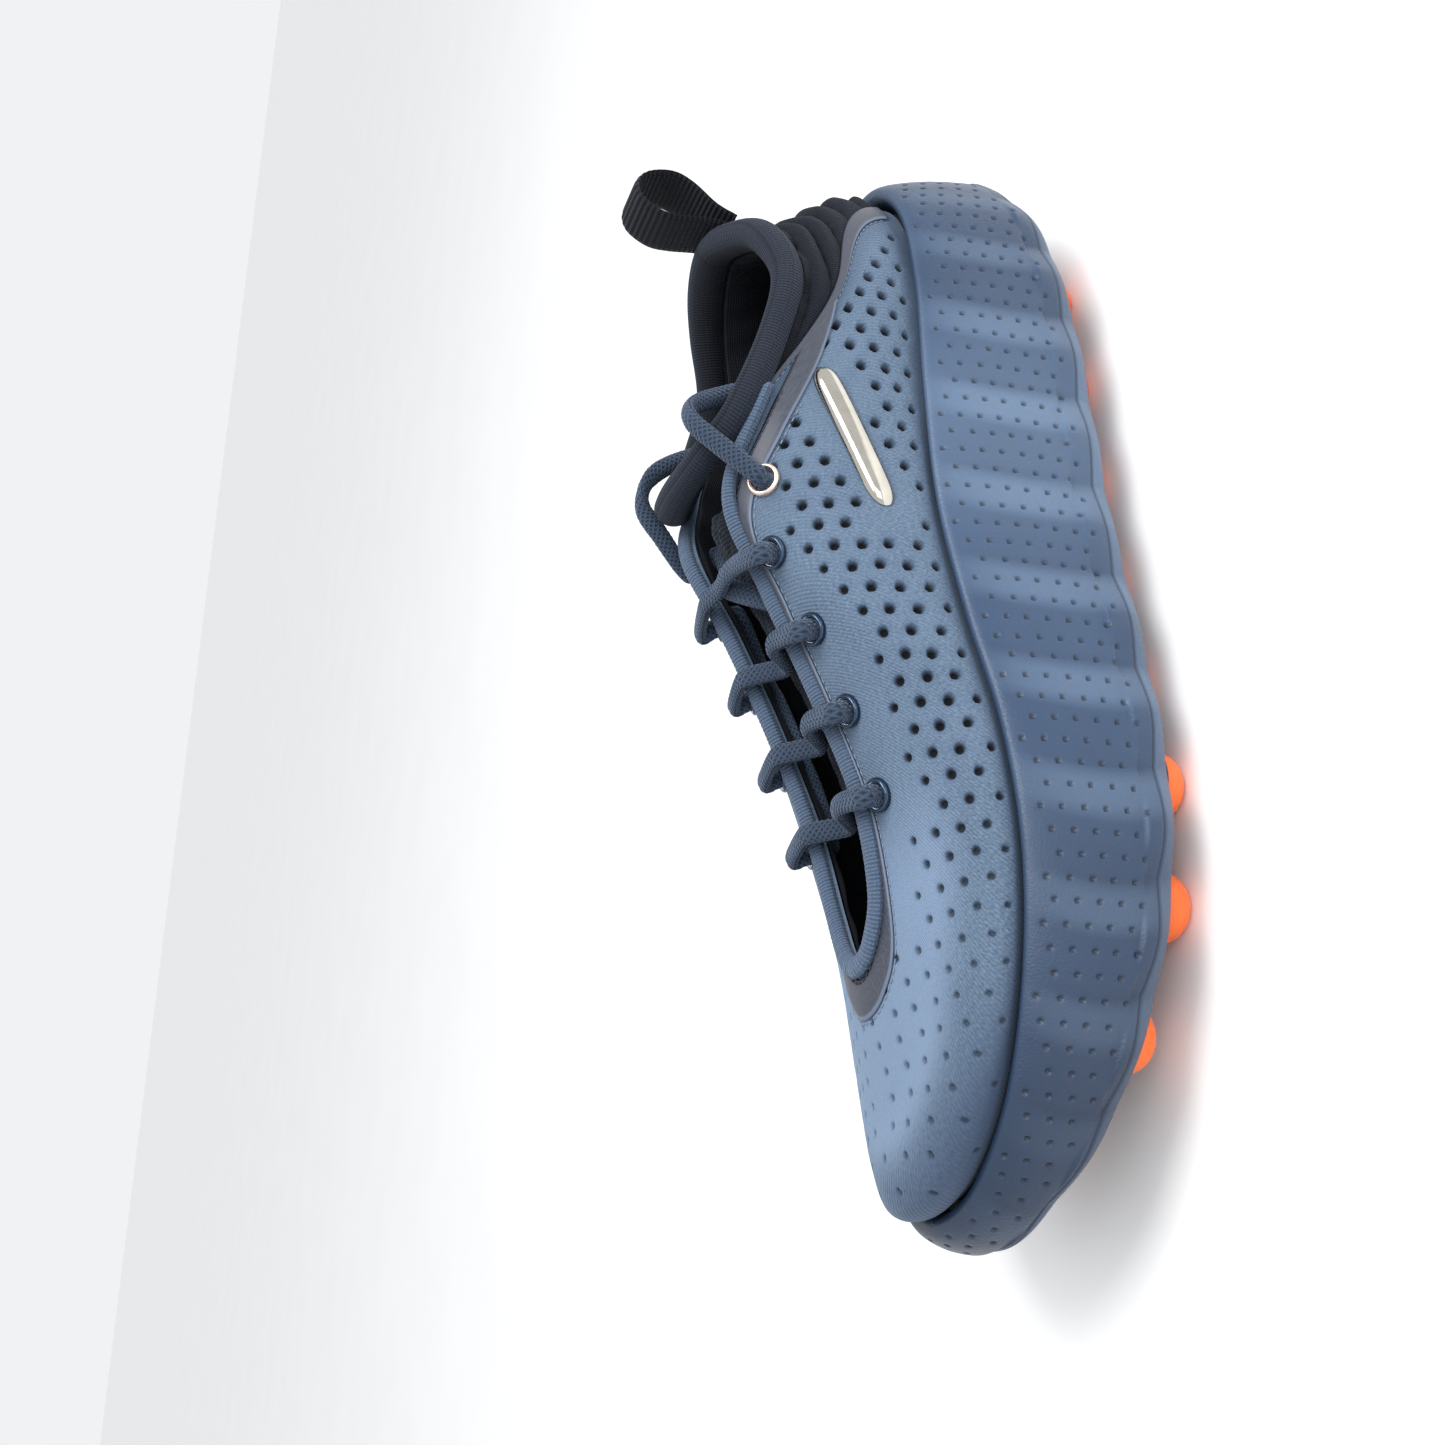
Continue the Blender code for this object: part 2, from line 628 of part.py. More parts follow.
def make_collar(root):
    path = [Vector(p) for p in collar_path()]
    sides = 8
    verts, rows = [], []
    for i, p in enumerate(path):
        ahead = (path[(i + 1) % len(path)] - path[i - 1]).normalized()
        side = ahead.cross(Vector((0, 0, 1))).normalized()
        other = ahead.cross(side)
        rows.append(list(range(len(verts), len(verts) + sides)))
        for k in range(sides):
            a = 2 * math.pi * k / sides
            verts.append(tuple(p + side * math.cos(a) * COLLAR_R + other * math.sin(a) * COLLAR_R))
    faces = [f for a, b in zip(rows, rows[1:] + rows[:1]) for f in bridge(a, b)]
    mesh_object("collar_roll", verts, faces, "knit", root)


def tongue_crown(y):
    """Height of the throat's edge over y, lateral side."""
    return float(np.interp(y, EDGE[6:13, 1][::-1], EDGE[6:13, 2][::-1]))


def tongue_point(y, x, lift=0.0):
    """The tongue lies deep in the throat and comes up to the collar."""
    sink = float(np.interp(y, (-12, 0, 13, 34), (7.5, 4.5, 2.4, 1.0)))
    curl = float(np.interp(y, (-12, 5), (.028, .050)))
    return (x, y, tongue_crown(y) - sink - curl * x * x + lift)


def make_tongue(root):
    rows, cols = 10, 7
    outer, inner = [], []
    for i in range(rows):
        y = TONGUE_END + (TONGUE_TOP - TONGUE_END) * i / (rows - 1)
        half = 8 + 7 * min(1, (y - TONGUE_END) / 40)
        xs = [half * (2 * j / (cols - 1) - 1) for j in range(cols)]
        sink = -4.0 if y < TONGUE_SEWN else 0.0
        outer.append([tongue_point(y, x, sink) for x in xs])
        inner.append([tongue_point(y, x, sink - TONGUE_THICK) for x in xs])
    mesh_object("tongue", *sheet_solid(outer, inner), "knit", root)


def strip(points_low, points_high, thick):
    """Thin strip between two rows of (station, v), lying on the fabric."""
    outer = [[tuple(skin(t, v, TAPE + thick)) for t, v in row] for row in (points_low, points_high)]
    inner = [[tuple(skin(t, v, thick)) for t, v in row] for row in (points_low, points_high)]
    return sheet_solid(outer, inner)


def make_tape(root):
    low, high = [], []
    count = 17
    for k in range(count):
        v = 0.16 + 0.80 * k / (count - 1)
        low.append((slant(v) + .06, v))
        high.append((slant(v) + .06 + TAPE_STATIONS * (1 - .45 * v), v))
    mesh_object("quarter_tape_lateral", *strip(low, high, TAPE_GAP), "tape", root)
    low, high = ([(SIDE - t, v) for t, v in row] for row in (low, high))
    mesh_object("quarter_tape_medial", *strip(low, high, TAPE_GAP), "tape", root)
    first, last = SLANT_TOP + .8, SIDE - SLANT_TOP - .8
    cols = 37
    stations = [first + (last - first) * k / (cols - 1) for k in range(cols)]
    low, high = [(t, 1 - TAPE_WIDTH) for t in stations], [(t, .995) for t in stations]
    mesh_object("throat_tape", *strip(low, high, TAPE_GAP), "tape", root)


def make_eyelets(root):
    low, barrel = -FABRIC - .4, EYELET_BORE_R - GAP
    for k, (_, p, n) in enumerate(eyelet_places()):
        side, place = ("lateral", "medial")[k // 5], k % 5
        rim = 4.4 if place else 4.9
        profile = [(EYELET_HOLE_R, low), (EYELET_HOLE_R, 1.2), (3.3, 1.6), (rim - .5, 1.5), (rim, .8),
                   (rim, GAP), (barrel, GAP), (barrel, low)]
        mesh_object(f"eyelet_{side}_{place + 1}", *spin(profile, EYELET_SIDES, tuple(p), tuple(n)),
                    "enamel" if place else "rose_metal", root)


def make_badges(root):
    """A plain polished bar on each side."""
    (y0, z0), (y1, z1) = BADGE_ENDS
    for name, lateral in (("badge_lateral", True), ("badge_medial", False)):
        outer, inner = [], []
        rows, cols = 5, 13
        for i in range(rows):
            across = 2 * i / (rows - 1) - 1
            row_out, row_in = [], []
            for j in range(cols):
                s = j / (cols - 1)
                round_end = math.sqrt(max(0.0, 1 - abs(2 * s - 1) ** 8))
                half = BADGE_HALF * max(round_end, .25)
                y = y0 + (y1 - y0) * s + across * half * .26
                z = z0 + (z1 - z0) * s - across * half * .96
                t, v = locate(y, z, lateral)
                row_out.append(tuple(skin(t, v, GAP + .7 + BADGE_BULGE * (1 - across * across))))
                row_in.append(tuple(skin(t, v, GAP)))
            outer.append(row_out)
            inner.append(row_in)
        mesh_object(name, *sheet_solid(outer, inner), "gunmetal", root)


def locate(y, z, lateral):
    """(station, v) of the point of the upper's side with this y and z."""
    v = .5
    t = station_for(y, v, lateral)
    for _ in range(30):
        v = min(max(v + (z - rib(t, v)[2]) * .008, 0), .98)
        t = station_for(y, v, lateral)
    return t, v


def make_pull_tab(root):
    """A webbing loop on the heel, turning about its stitched root."""
    root_y, root_z = PULL_ROOT
    last = 20
    pts = [curve_at(PULL_PROFILE, k / last) for k in range(last + 1)]
    outer, inner = [], []
    for x in np.linspace(-PULL_HALF, PULL_HALF, 4):
        row_out, row_in = [], []
        for k, p in enumerate(pts):
            d = pts[min(k + 1, last)] - pts[max(k - 1, 0)]
            d = d / np.linalg.norm(d)
            n = np.array([-d[1], d[0]])
            q = p - n * PULL_THICK
            row_out.append((x, p[0], p[1]))
            row_in.append((x, q[0], q[1]))
        outer.append(row_out)
        inner.append(row_in)
    tab = mesh_object("pull_tab", *sheet_solid(outer, inner), "knit", root)
    tab.location = (0, root_y * MM, root_z * MM)
    tab.rotation_euler = (math.radians(-PULL_LEAN), 0, 0)


def make_laces(root):
    spots = [(p, n) for _, p, n in eyelet_places()]
    lat, med = spots[:5], spots[5:]

    def up_through(spot, far=5.6):
        """From beneath an eyelet to above it."""
        p, n = spot
        return [p - n * LACE_DEPTH, p - n * 2.6, p - n * .3, p + n * 2.4, p + n * far]

    def over(y, sign, dips):
        """Across the throat at y, starting on the side of sign."""
        crown = tongue_crown(y)
        way = [(sign * x, crown + z) for x, z in dips]
        return [np.array([x, y, z]) for x, z in way + [(-x, z) for x, z in way[-2::-1]]]

    def under(k, m, lateral, shift=0.0):
        """Beneath the fabric between eyelets k and m, moved down its ribs by shift."""
        v = EYELET_RIB - shift
        ys = [EYELETS_Y[k] + (EYELETS_Y[m] - EYELETS_Y[k]) * s for s in (.28, .5, .72)]
        return [skin(station_for(y, v, lateral), v, -LACE_DEPTH) for y in ys]

    def bar(k, first, second, dips=BAR_SLACK):
        return (up_through(first[k]) + over(EYELETS_Y[k], math.copysign(1, first[k][0][0]), dips)
                + up_through(second[k])[::-1])

    p, n = lat[0]
    route = [p - n * .2, p - n * 2.6, p - n * LACE_DEPTH]
    route += under(0, 1, True) + bar(1, lat, med, BAR_TIGHT)
    route += under(1, 3, False, LACE_SHIFT) + bar(3, med, lat)
    route += under(3, 4, True) + bar(4, lat, med)
    route += under(4, 2, False, -LACE_SHIFT) + bar(2, med, lat)
    for x, z in ((12.5, -6.4), (9, -2.6), (5, 0.6), (0, 2.2), (-5, 0.6), (-9, -2.6), (-12.5, -6.4)):
        y = EYELETS_Y[1] - .75 * x
        route.append(np.array([x, y, tongue_crown(y) + z]))
    p, n = med[0]
    route += [p - n * LACE_DEPTH, p - n * 2.6, p - n * .2]
    steps = 2 * (len(route) - 1)
    path = [curve_at(route, k / steps) for k in range(steps + 1)]
    mesh_object("lace", *tube(path, LACE_R, 6), "lace", root)


def make_lace_ends(root):
    """Each free end leaves its top eyelet, goes over the collar and lies tucked on the insole."""
    for name, k in (("lateral", 0), ("medial", 5)):
        length = LACE_END_LENGTHS[name]
        _, p, n = eyelet_places()[k]
        s = math.copysign(1, p[0])
        draw = 1 if s > 0 else MEDIAL_DRAW
        inside = [(s * x * draw, y, z) for x, y, z in LACE_END_ROUTE]
        lying = [(s * x, y, insole_top(y) + LACE_R + 1.4) for x, y in LACE_END_LYING]
        route = [p + n * .15, p + n * 2.4, p + n * 5.6, *inside, *lying]
        fine = [curve_at(route, q / 400) for q in range(401)]
        along = np.cumsum([0] + [np.linalg.norm(b - a) for a, b in zip(fine, fine[1:])])
        stops = [0, 2.4, 5, *np.linspace(9, length, int(length / LACE_END_STEP))]
        points = [[float(np.interp(d, along, [f[c] for f in fine])) for c in range(3)]
                  for d in stops]
        cord_object(f"lace_end_{name}", points, root)
        tip, before = np.array(points[-1]), np.array(points[-2])
        way = (tip - before) / np.linalg.norm(tip - before)
        profile = [(0, GAP), (AGLET_R, GAP), (AGLET_R, AGLET - 2), (1.1, AGLET), (0, AGLET)]
        mesh_object(f"aglet_{name}", *spin(profile, 10, tuple(tip), tuple(way)), "clear_tip", root)


def cord_object(name, points, root):
    curve = bpy.data.curves.new(name, "CURVE")
    curve.dimensions = "3D"
    curve.bevel_depth = LACE_R * MM
    curve.bevel_resolution = 2
    curve.use_fill_caps = True
    spline = curve.splines.new("POLY")
    spline.points.add(len(points) - 1)
    for point, place in zip(spline.points, points):
        point.co = (*(c * MM for c in place), 1)
    curve.materials.append(material("lace"))
    obj = bpy.data.objects.new(name, curve)
    bpy.context.scene.collection.objects.link(obj)
    obj.parent = root


def clear_scene():
    for obj in list(bpy.data.objects):
        bpy.data.objects.remove(obj)


def main():
    clear_scene()
    root = bpy.data.objects.new("shoe", None)
    bpy.context.scene.collection.objects.link(root)
    root.location = (CENTRING[0] * MM, CENTRING[1] * MM, 0)
    make_midsole(root)
    make_pods(root)
    make_footbed(root)
    make_toe_rubber(root)
    make_upper(root)
    make_linings(root)
    make_heel(root)
    make_collar(root)
    make_tongue(root)
    make_tape(root)
    make_eyelets(root)
    make_badges(root)
    make_pull_tab(root)
    make_laces(root)
    make_lace_ends(root)


main()
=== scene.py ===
"""Looks of the left golf shoe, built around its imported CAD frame.

The surface tables and functions are those of the CAD part, in millimetres, before its centring shift.
+X is the lateral side, -Y the toe and +Z up. to_metres() turns points to the row frame.
"""

import math

import bpy
import numpy as np
from mathutils import Matrix, Vector
from mathutils.geometry import delaunay_2d_cdt


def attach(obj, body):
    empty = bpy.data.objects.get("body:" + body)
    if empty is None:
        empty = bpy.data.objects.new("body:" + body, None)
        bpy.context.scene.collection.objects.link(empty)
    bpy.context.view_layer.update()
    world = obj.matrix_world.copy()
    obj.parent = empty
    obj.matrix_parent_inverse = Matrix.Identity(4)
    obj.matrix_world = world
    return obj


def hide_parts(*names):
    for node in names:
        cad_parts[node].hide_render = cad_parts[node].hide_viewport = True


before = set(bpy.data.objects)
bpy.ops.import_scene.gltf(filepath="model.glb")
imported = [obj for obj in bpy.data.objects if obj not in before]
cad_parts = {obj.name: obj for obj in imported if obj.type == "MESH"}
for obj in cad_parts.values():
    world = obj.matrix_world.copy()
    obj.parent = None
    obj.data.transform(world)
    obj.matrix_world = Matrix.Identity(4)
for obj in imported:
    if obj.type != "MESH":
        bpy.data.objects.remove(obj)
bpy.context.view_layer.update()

BODY = "shoe"
SHIFT = np.array([-0.6, -2.0, 0.0])
SIDE = 24
TUCK_INSET, TUCK_DEPTH = 10.4, 3.0
SLANT_FOOT, SLANT_TOP, SLANT_BEND = 1.35, 4.65, 2.0
EYELETS_Y = (32, 13, -7, -28, -49)
EYELET_RIB = .80
LACE_SHIFT, LACE_DEPTH = .10, 5.4
COLLAR_R = 3.8
POD_R, POD_HOLE_R, POD_FLANGE_R, POD_BORE_R = 9.0, 9.6, 10.2, 10.8
POD_FLANGE, POD_TRAVEL, POD_STAND, POD_FACE_R = 3.0, 3.0, 8.0, 3.2
POD_DOME = 7.0    # height of the rounded end
POD_SLANT = .10   # rows run slightly askew
GAP = .35         # clearance between touching pieces
POD_GROUND = (-95, 125)
POD_ROWS = [
    (111, (-25, -4, 17)), (79, (-26, -3, 20)), (46, (-26, 20)), (14, (-26, 22)),
    (-19, (-31, -3, 27)), (-50, (-37, -12, 13, 38)), (-79, (-37, -1, 34)), (-107, (-26, 23)),
]
FLOOR = [(-160, 40), (-135, 34.5), (-110, 29.5), (-85, 26), (-55, 24.5), (-10, 26), (50, 29),
         (110, 30.5), (160, 33)]   # y and height of the cup's floor
FOOTBED = 1.0 + 1.2 + 4.0 + 3 * GAP   # cover sheet, board and insole
HEEL_FLAT = (84, 118)

# Stations round the sole from the heel's back by the lateral side: x, y, bottom edge, rim.
SOLE = np.array([
    (0, 151, 22, 60), (22, 145, 20, 60), (37, 125, 15, 59), (43, 95, 11, 59),
    (45, 60, 9.5, 60), (47, 25, 9, 60), (51, -8, 8, 57), (54, -38, 8, 52),
    (53, -68, 9, 49), (46, -98, 13, 48), (32, -126, 20, 48), (12, -145, 28, 49),
    (-10, -151, 31, 50), (-30, -144, 28, 48), (-45, -124, 20, 46), (-52, -96, 13, 45),
    (-53, -66, 9, 46), (-49, -34, 8, 52), (-42, 0, 8, 59), (-39, 30, 9, 61),
    (-40, 62, 9.5, 59), (-40, 95, 11, 57), (-35, 124, 15, 58), (-21, 145, 20, 60),
], float)
# The upper's inner edge at the same stations: x, y, z, rise, flare, reach, drop.
EDGE = np.array([
    (0, 122, 98.5, .45, 1.5, .10, .35), (12, 118, 97, .45, 1.5, .10, .35),
    (25, 109, 93.5, .45, 2.0, .08, .35), (32, 92, 90, .45, 2.5, .06, .35),
    (31, 73, 94, .50, 3.5, .10, .30), (25, 52, 101.5, .56, 3.5, .22, .14),
    (15, 31, 106, .46, 3.5, .42, .19), (12, 8, 95.5, .38, 3.5, .50, .28),
    (12, -18, 84, .39, 3.5, .50, .31), (13, -45, 74, .43, 3.5, .50, .33),
    (11, -68, 69.5, .52, 4.0, .45, .28), (6, -80, 69, .66, 4.5, .40, .24),
    (-1, -84, 69, .74, 5.0, .40, .22), (-7, -80, 69, .66, 4.5, .40, .24),
    (-12, -68, 69.5, .52, 4.0, .45, .28), (-14, -45, 74, .43, 3.5, .50, .33),
    (-14, -18, 84, .40, 3.5, .50, .30), (-14, 8, 95.5, .39, 3.5, .50, .28),
    (-16, 31, 106, .47, 3.5, .42, .19), (-25, 52, 101.5, .56, 3.5, .22, .14),
    (-31, 73, 94, .50, 3.5, .10, .30), (-30, 92, 90, .45, 2.5, .06, .35),
    (-23, 109, 93.5, .45, 2.0, .08, .35), (-12, 118, 97, .45, 1.5, .10, .35),
], float)


# ---------------------------------------------------------------- surfaces

def spline(a, b, c, d, f):
    return b + .5 * f * (c - a + f * (2 * a - 5 * b + 4 * c - d + f * (3 * (b - c) + d - a)))


def loop_at(table, t):
    """A smooth closed curve through the table's rows, at stations t (any shape)."""
    t = np.asarray(t, float)
    i = np.floor(t).astype(int)
    return spline(*(table[(i + k) % len(table)] for k in (-1, 0, 1, 2)), (t - i)[..., None])


def curve_at(points, t):
    """A smooth open curve through the points, t from 0 to 1 (any shape)."""
    p = np.asarray(points, float)
    p = np.concatenate([2 * p[:1] - p[1:2], p, 2 * p[-1:] - p[-2:-1]])
    s = np.clip(np.asarray(t, float), 0, 1) * (len(p) - 3)
    i = np.minimum(s.astype(int), len(p) - 4)
    return spline(p[i], p[i + 1], p[i + 2], p[i + 3], (s - i)[..., None])


def smooth(x, low, high):
    """0 below low and 1 above high, eased between."""
    f = np.clip((x - low) / (high - low), 0, 1)
    return f * f * (3 - 2 * f)


def floor_at(y):
    ys, zs = np.array(FLOOR, float).T
    y = np.asarray(y, float)
    i = np.clip(np.searchsorted(ys, y) - 1, 0, len(ys) - 2)
    f = (y - ys[i]) / (ys[i + 1] - ys[i])
    return zs[i] + (zs[i + 1] - zs[i]) * (f * f * (3 - 2 * f) * .5 + f * .5)


def insole_top(y):
    return float(floor_at(HEEL_FLAT[0] if HEEL_FLAT[0] < y < HEEL_FLAT[1] else y)) + FOOTBED


def bottom_at(y):
    side = SOLE[1:13]
    return np.interp(-np.asarray(y, float), -side[:, 1], side[:, 2])


def unit(v):
    return v / np.maximum(np.linalg.norm(v, axis=-1, keepdims=True), 1e-12)


def outward(t):
    d = loop_at(SOLE, np.asarray(t, float) + .05) - loop_at(SOLE, np.asarray(t, float) - .05)
    return unit(np.stack([-d[..., 1], d[..., 0]], -1))


def perimeter(t, inset=0.0):
    return loop_at(SOLE, t)[..., :2] - outward(t) * np.asarray(inset, float)[..., None]


def rib(t, v):
    """The upper's outer surface: from inside the rim (v 0) to the collar or throat edge (v 1)."""
    t, v = np.broadcast_arrays(np.asarray(t, float), np.asarray(v, float))
    foot, out = perimeter(t, TUCK_INSET), outward(t)
    x, y, z, rise, flare, reach, drop = np.moveaxis(loop_at(EDGE, t), -1, 0)
    z0 = loop_at(SOLE, t)[..., 3] - TUCK_DEPTH
    high = z - z0
    p0 = np.stack([foot[..., 0], foot[..., 1], z0], -1)
    side = foot + out * flare[..., None]
    p1 = np.stack([side[..., 0], side[..., 1], z0 + rise * high], -1)
    p3 = np.stack([x, y, z], -1)
    p2 = p3 + np.stack([(foot[..., 0] - x) * reach, (foot[..., 1] - y) * reach, -drop * high], -1)
    v = v[..., None]
    w = 1 - v
    return w ** 3 * p0 + 3 * w * w * v * p1 + 3 * w * v * v * p2 + v ** 3 * p3


def normal_at(t, v):
    a = rib(t + .04, v) - rib(t - .04, v)
    b = rib(t, np.minimum(v + .01, 1)) - rib(t, np.maximum(v - .01, 0))
    return unit(np.cross(b, a))


def skin(t, v, lift=0.0):
    """The upper's surface moved along its normal."""
    t, v = np.broadcast_arrays(np.asarray(t, float), np.asarray(v, float))
    return rib(t, v) + normal_at(t, v) * np.asarray(lift, float)[..., None]


def slant(v):
    """Station of the slanting seam at the heel, by its height on the upper."""
    return SLANT_FOOT + (SLANT_TOP - SLANT_FOOT) * np.asarray(v, float) ** SLANT_BEND


def seam_width(v):
    """Width of the slanting tape, in stations."""
    return .50 * (1 - .50 * v)


def station_for(y, v, lateral=True):
    """Stations whose ribs pass the given y at v."""
    y, v = np.broadcast_arrays(np.asarray(y, float), np.asarray(v, float))
    lo, hi = np.full(y.shape, 1.5), np.full(y.shape, 11.5)
    for _ in range(36):
        mid = (lo + hi) / 2
        above = rib(mid if lateral else SIDE - mid, v)[..., 1] > y
        lo, hi = np.where(above, mid, lo), np.where(above, hi, mid)
    return lo if lateral else SIDE - lo


def from_edge(t, e):
    """The v of the point e millimetres from the collar or throat edge, along the rib of t."""
    vs = np.linspace(1, .45, 56)
    t, e = np.broadcast_arrays(np.asarray(t, float), np.asarray(e, float))
    line = rib(t[..., None], vs)
    along = np.concatenate([np.zeros(t.shape + (1,)),
                            np.cumsum(np.linalg.norm(np.diff(line, axis=-2), axis=-1), -1)], -1)
    flat = [np.interp(a, b, vs) for a, b in zip(e.ravel(), along.reshape(-1, len(vs)))]
    return np.array(flat).reshape(t.shape)


# ---------------------------------------------------------------- meshes

def to_metres(points):
    return (np.asarray(points, float) + SHIFT) * .001


def grid_faces(rows, cols, wrap_cols=False, wrap_rows=False):
    ids = np.arange(rows * cols).reshape(rows, cols)
    if wrap_cols:
        ids = np.concatenate([ids, ids[:, :1]], 1)
    if wrap_rows:
        ids = np.concatenate([ids, ids[:1]], 0)
    return np.stack([ids[:-1, :-1], ids[1:, :-1], ids[1:, 1:], ids[:-1, 1:]], -1).reshape(-1, 4)


def volume(points, faces):
    """Six times the volume inside quads: its sign says which way they face."""
    a, b, c, d = (points[faces[:, k]] for k in range(4))
    return (np.einsum("ij,ij->i", a, np.cross(b, c)) + np.einsum("ij,ij->i", a, np.cross(c, d))).sum()


def add_piece(name, points, faces, mat, stands_for=(), slot=None, body=BODY, closed=True, **attributes):
    """A smooth mesh object in the row frame from millimetre points; faces are quads or a list."""
    points = np.asarray(points, float).reshape(-1, 3)
    if closed and isinstance(faces, np.ndarray) and volume(points, faces) < 0:
        faces = faces[:, ::-1]
    mesh = bpy.data.meshes.new(name)
    mesh.from_pydata(to_metres(points), [], faces.tolist() if isinstance(faces, np.ndarray) else faces)
    mesh.shade_smooth()
    for key, value in attributes.items():
        value = np.asarray(value, np.float32)
        vector = value.shape[-1] == 3 and value.size == points.size
        made = mesh.attributes.new(key, "FLOAT_VECTOR" if vector else "FLOAT", "POINT")
        made.data.foreach_set("vector" if vector else "value", value.ravel())
    mesh.materials.append(mat)
    obj = bpy.data.objects.new(name, mesh)
    bpy.context.scene.collection.objects.link(obj)
    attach(obj, body)
    if stands_for:
        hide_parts(*stands_for)
    return obj


def grid_normals(points, wrap=False):
    """Unit normals of a grid whose rows go up and whose columns go round by the lateral side."""
    p = np.concatenate([points[:, -1:], points, points[:, :1]], 1) if wrap else points
    around = np.gradient(p, axis=1)
    if wrap:
        around = around[:, 1:-1]
    return unit(np.cross(np.gradient(points, axis=0), around))


def slab(outer, inner):
    """(points, faces) of a closed solid between two equal grids."""
    rows, cols = outer.shape[:2]
    around = np.concatenate([outer, inner[::-1]], 0)
    middle = (outer + inner) / 2
    ends = [np.concatenate([middle[:, k:k + 1], middle[::-1, k:k + 1]], 0) for k in (0, cols - 1)]
    grid = np.concatenate([ends[0], around, ends[1]], 1)
    return grid, grid_faces(2 * rows, cols + 2, wrap_rows=True)


def add_slab(name, outer, inner, *rest, **more):
    """add_piece() for the solid between two grids."""
    return add_piece(name, *slab(outer, inner), *rest, **more)


def add_tube(name, grid, *rest, wrap_rows=False, **more):
    """add_piece() for a grid whose rows are closed rings."""
    faces = grid_faces(*grid.shape[:2], wrap_cols=True, wrap_rows=wrap_rows)
    return add_piece(name, grid, faces, *rest, **more)


def slab_values(values, rest=0.0):
    """Values of a slab's outer grid, spread to all of slab()'s points; rest is for the inner grid."""
    both = np.concatenate([values, np.full_like(values, rest)], 0)
    return np.concatenate([both[:, :1], both, both[:, -1:]], 1)


def slab_cloth(x, y):
    """Cloth coordinates of a slab's outer grid, spread to all of slab()'s points."""
    cloth = np.stack([*np.broadcast_arrays(x, y), np.zeros(np.broadcast(x, y).shape)], -1)
    cloth = np.concatenate([cloth, cloth[::-1]], 0)
    return np.concatenate([cloth[:, :1], cloth, cloth[:, -1:]], 1).reshape(-1, 3)


def run_along(points, axis):
    """Millimetres from the first row (axis 0) or column (axis 1) of a grid, or along a line (axis 0)."""
    steps = np.linalg.norm(np.diff(points, axis=axis), axis=-1)
    start = np.zeros_like(np.take(steps, [0], axis=axis))
    return np.concatenate([start, np.cumsum(steps, axis=axis)], axis=axis)


def spun(profile, sides, centre=(0, 0, 0), axis=(0, 0, 1)):
    """(points, radii) of a turned ring or dome through (radius, height) points."""
    axis = Vector(axis).normalized()
    side = axis.orthogonal().normalized()
    other = axis.cross(side)
    a = np.arange(sides) * 2 * math.pi / sides
    ring = np.cos(a)[:, None] * np.array(side) + np.sin(a)[:, None] * np.array(other)
    r, h = np.array(profile, float).T
    points = np.array(centre, float) + h[:, None, None] * np.array(axis) + r[:, None, None] * ring
    return points, np.repeat(r[:, None], sides, 1)


def densify(points, count):
    """Points spread evenly along the smooth curve through the given ones."""
    fine = curve_at(points, np.linspace(0, 1, 40 * len(points)))
    along = run_along(fine, 0)
    stops = np.linspace(0, along[-1], count)
    return np.stack([np.interp(stops, along, fine[:, k]) for k in range(fine.shape[1])], 1), along[-1]


def dent(points, row, col, centre, radius, reach, depth, core_depth, wrap, fields):
    """Presses one round dent into a grid about (row, col), and marks it for painted shade. fields is (lift,
    hole).
    """
    rows, cols = points.shape[:2]
    i = np.arange(max(row - reach, 0), min(row + reach + 1, rows))
    j = np.arange(col - reach, col + reach + 1)
    j = j % cols if wrap else j[(j >= 0) & (j < cols)]
    at = np.ix_(i, j)
    away = points[at] - centre
    d = np.linalg.norm(away, axis=-1)
    lift, hole = fields
    core = 1 - smooth(d, radius * .72, radius * 1.18)
    lift[at] -= depth * np.exp(-(d / (radius * 1.6)) ** 2) + core_depth * core
    hole[at] = np.maximum(hole[at], core)


# ---------------------------------------------------------------- materials

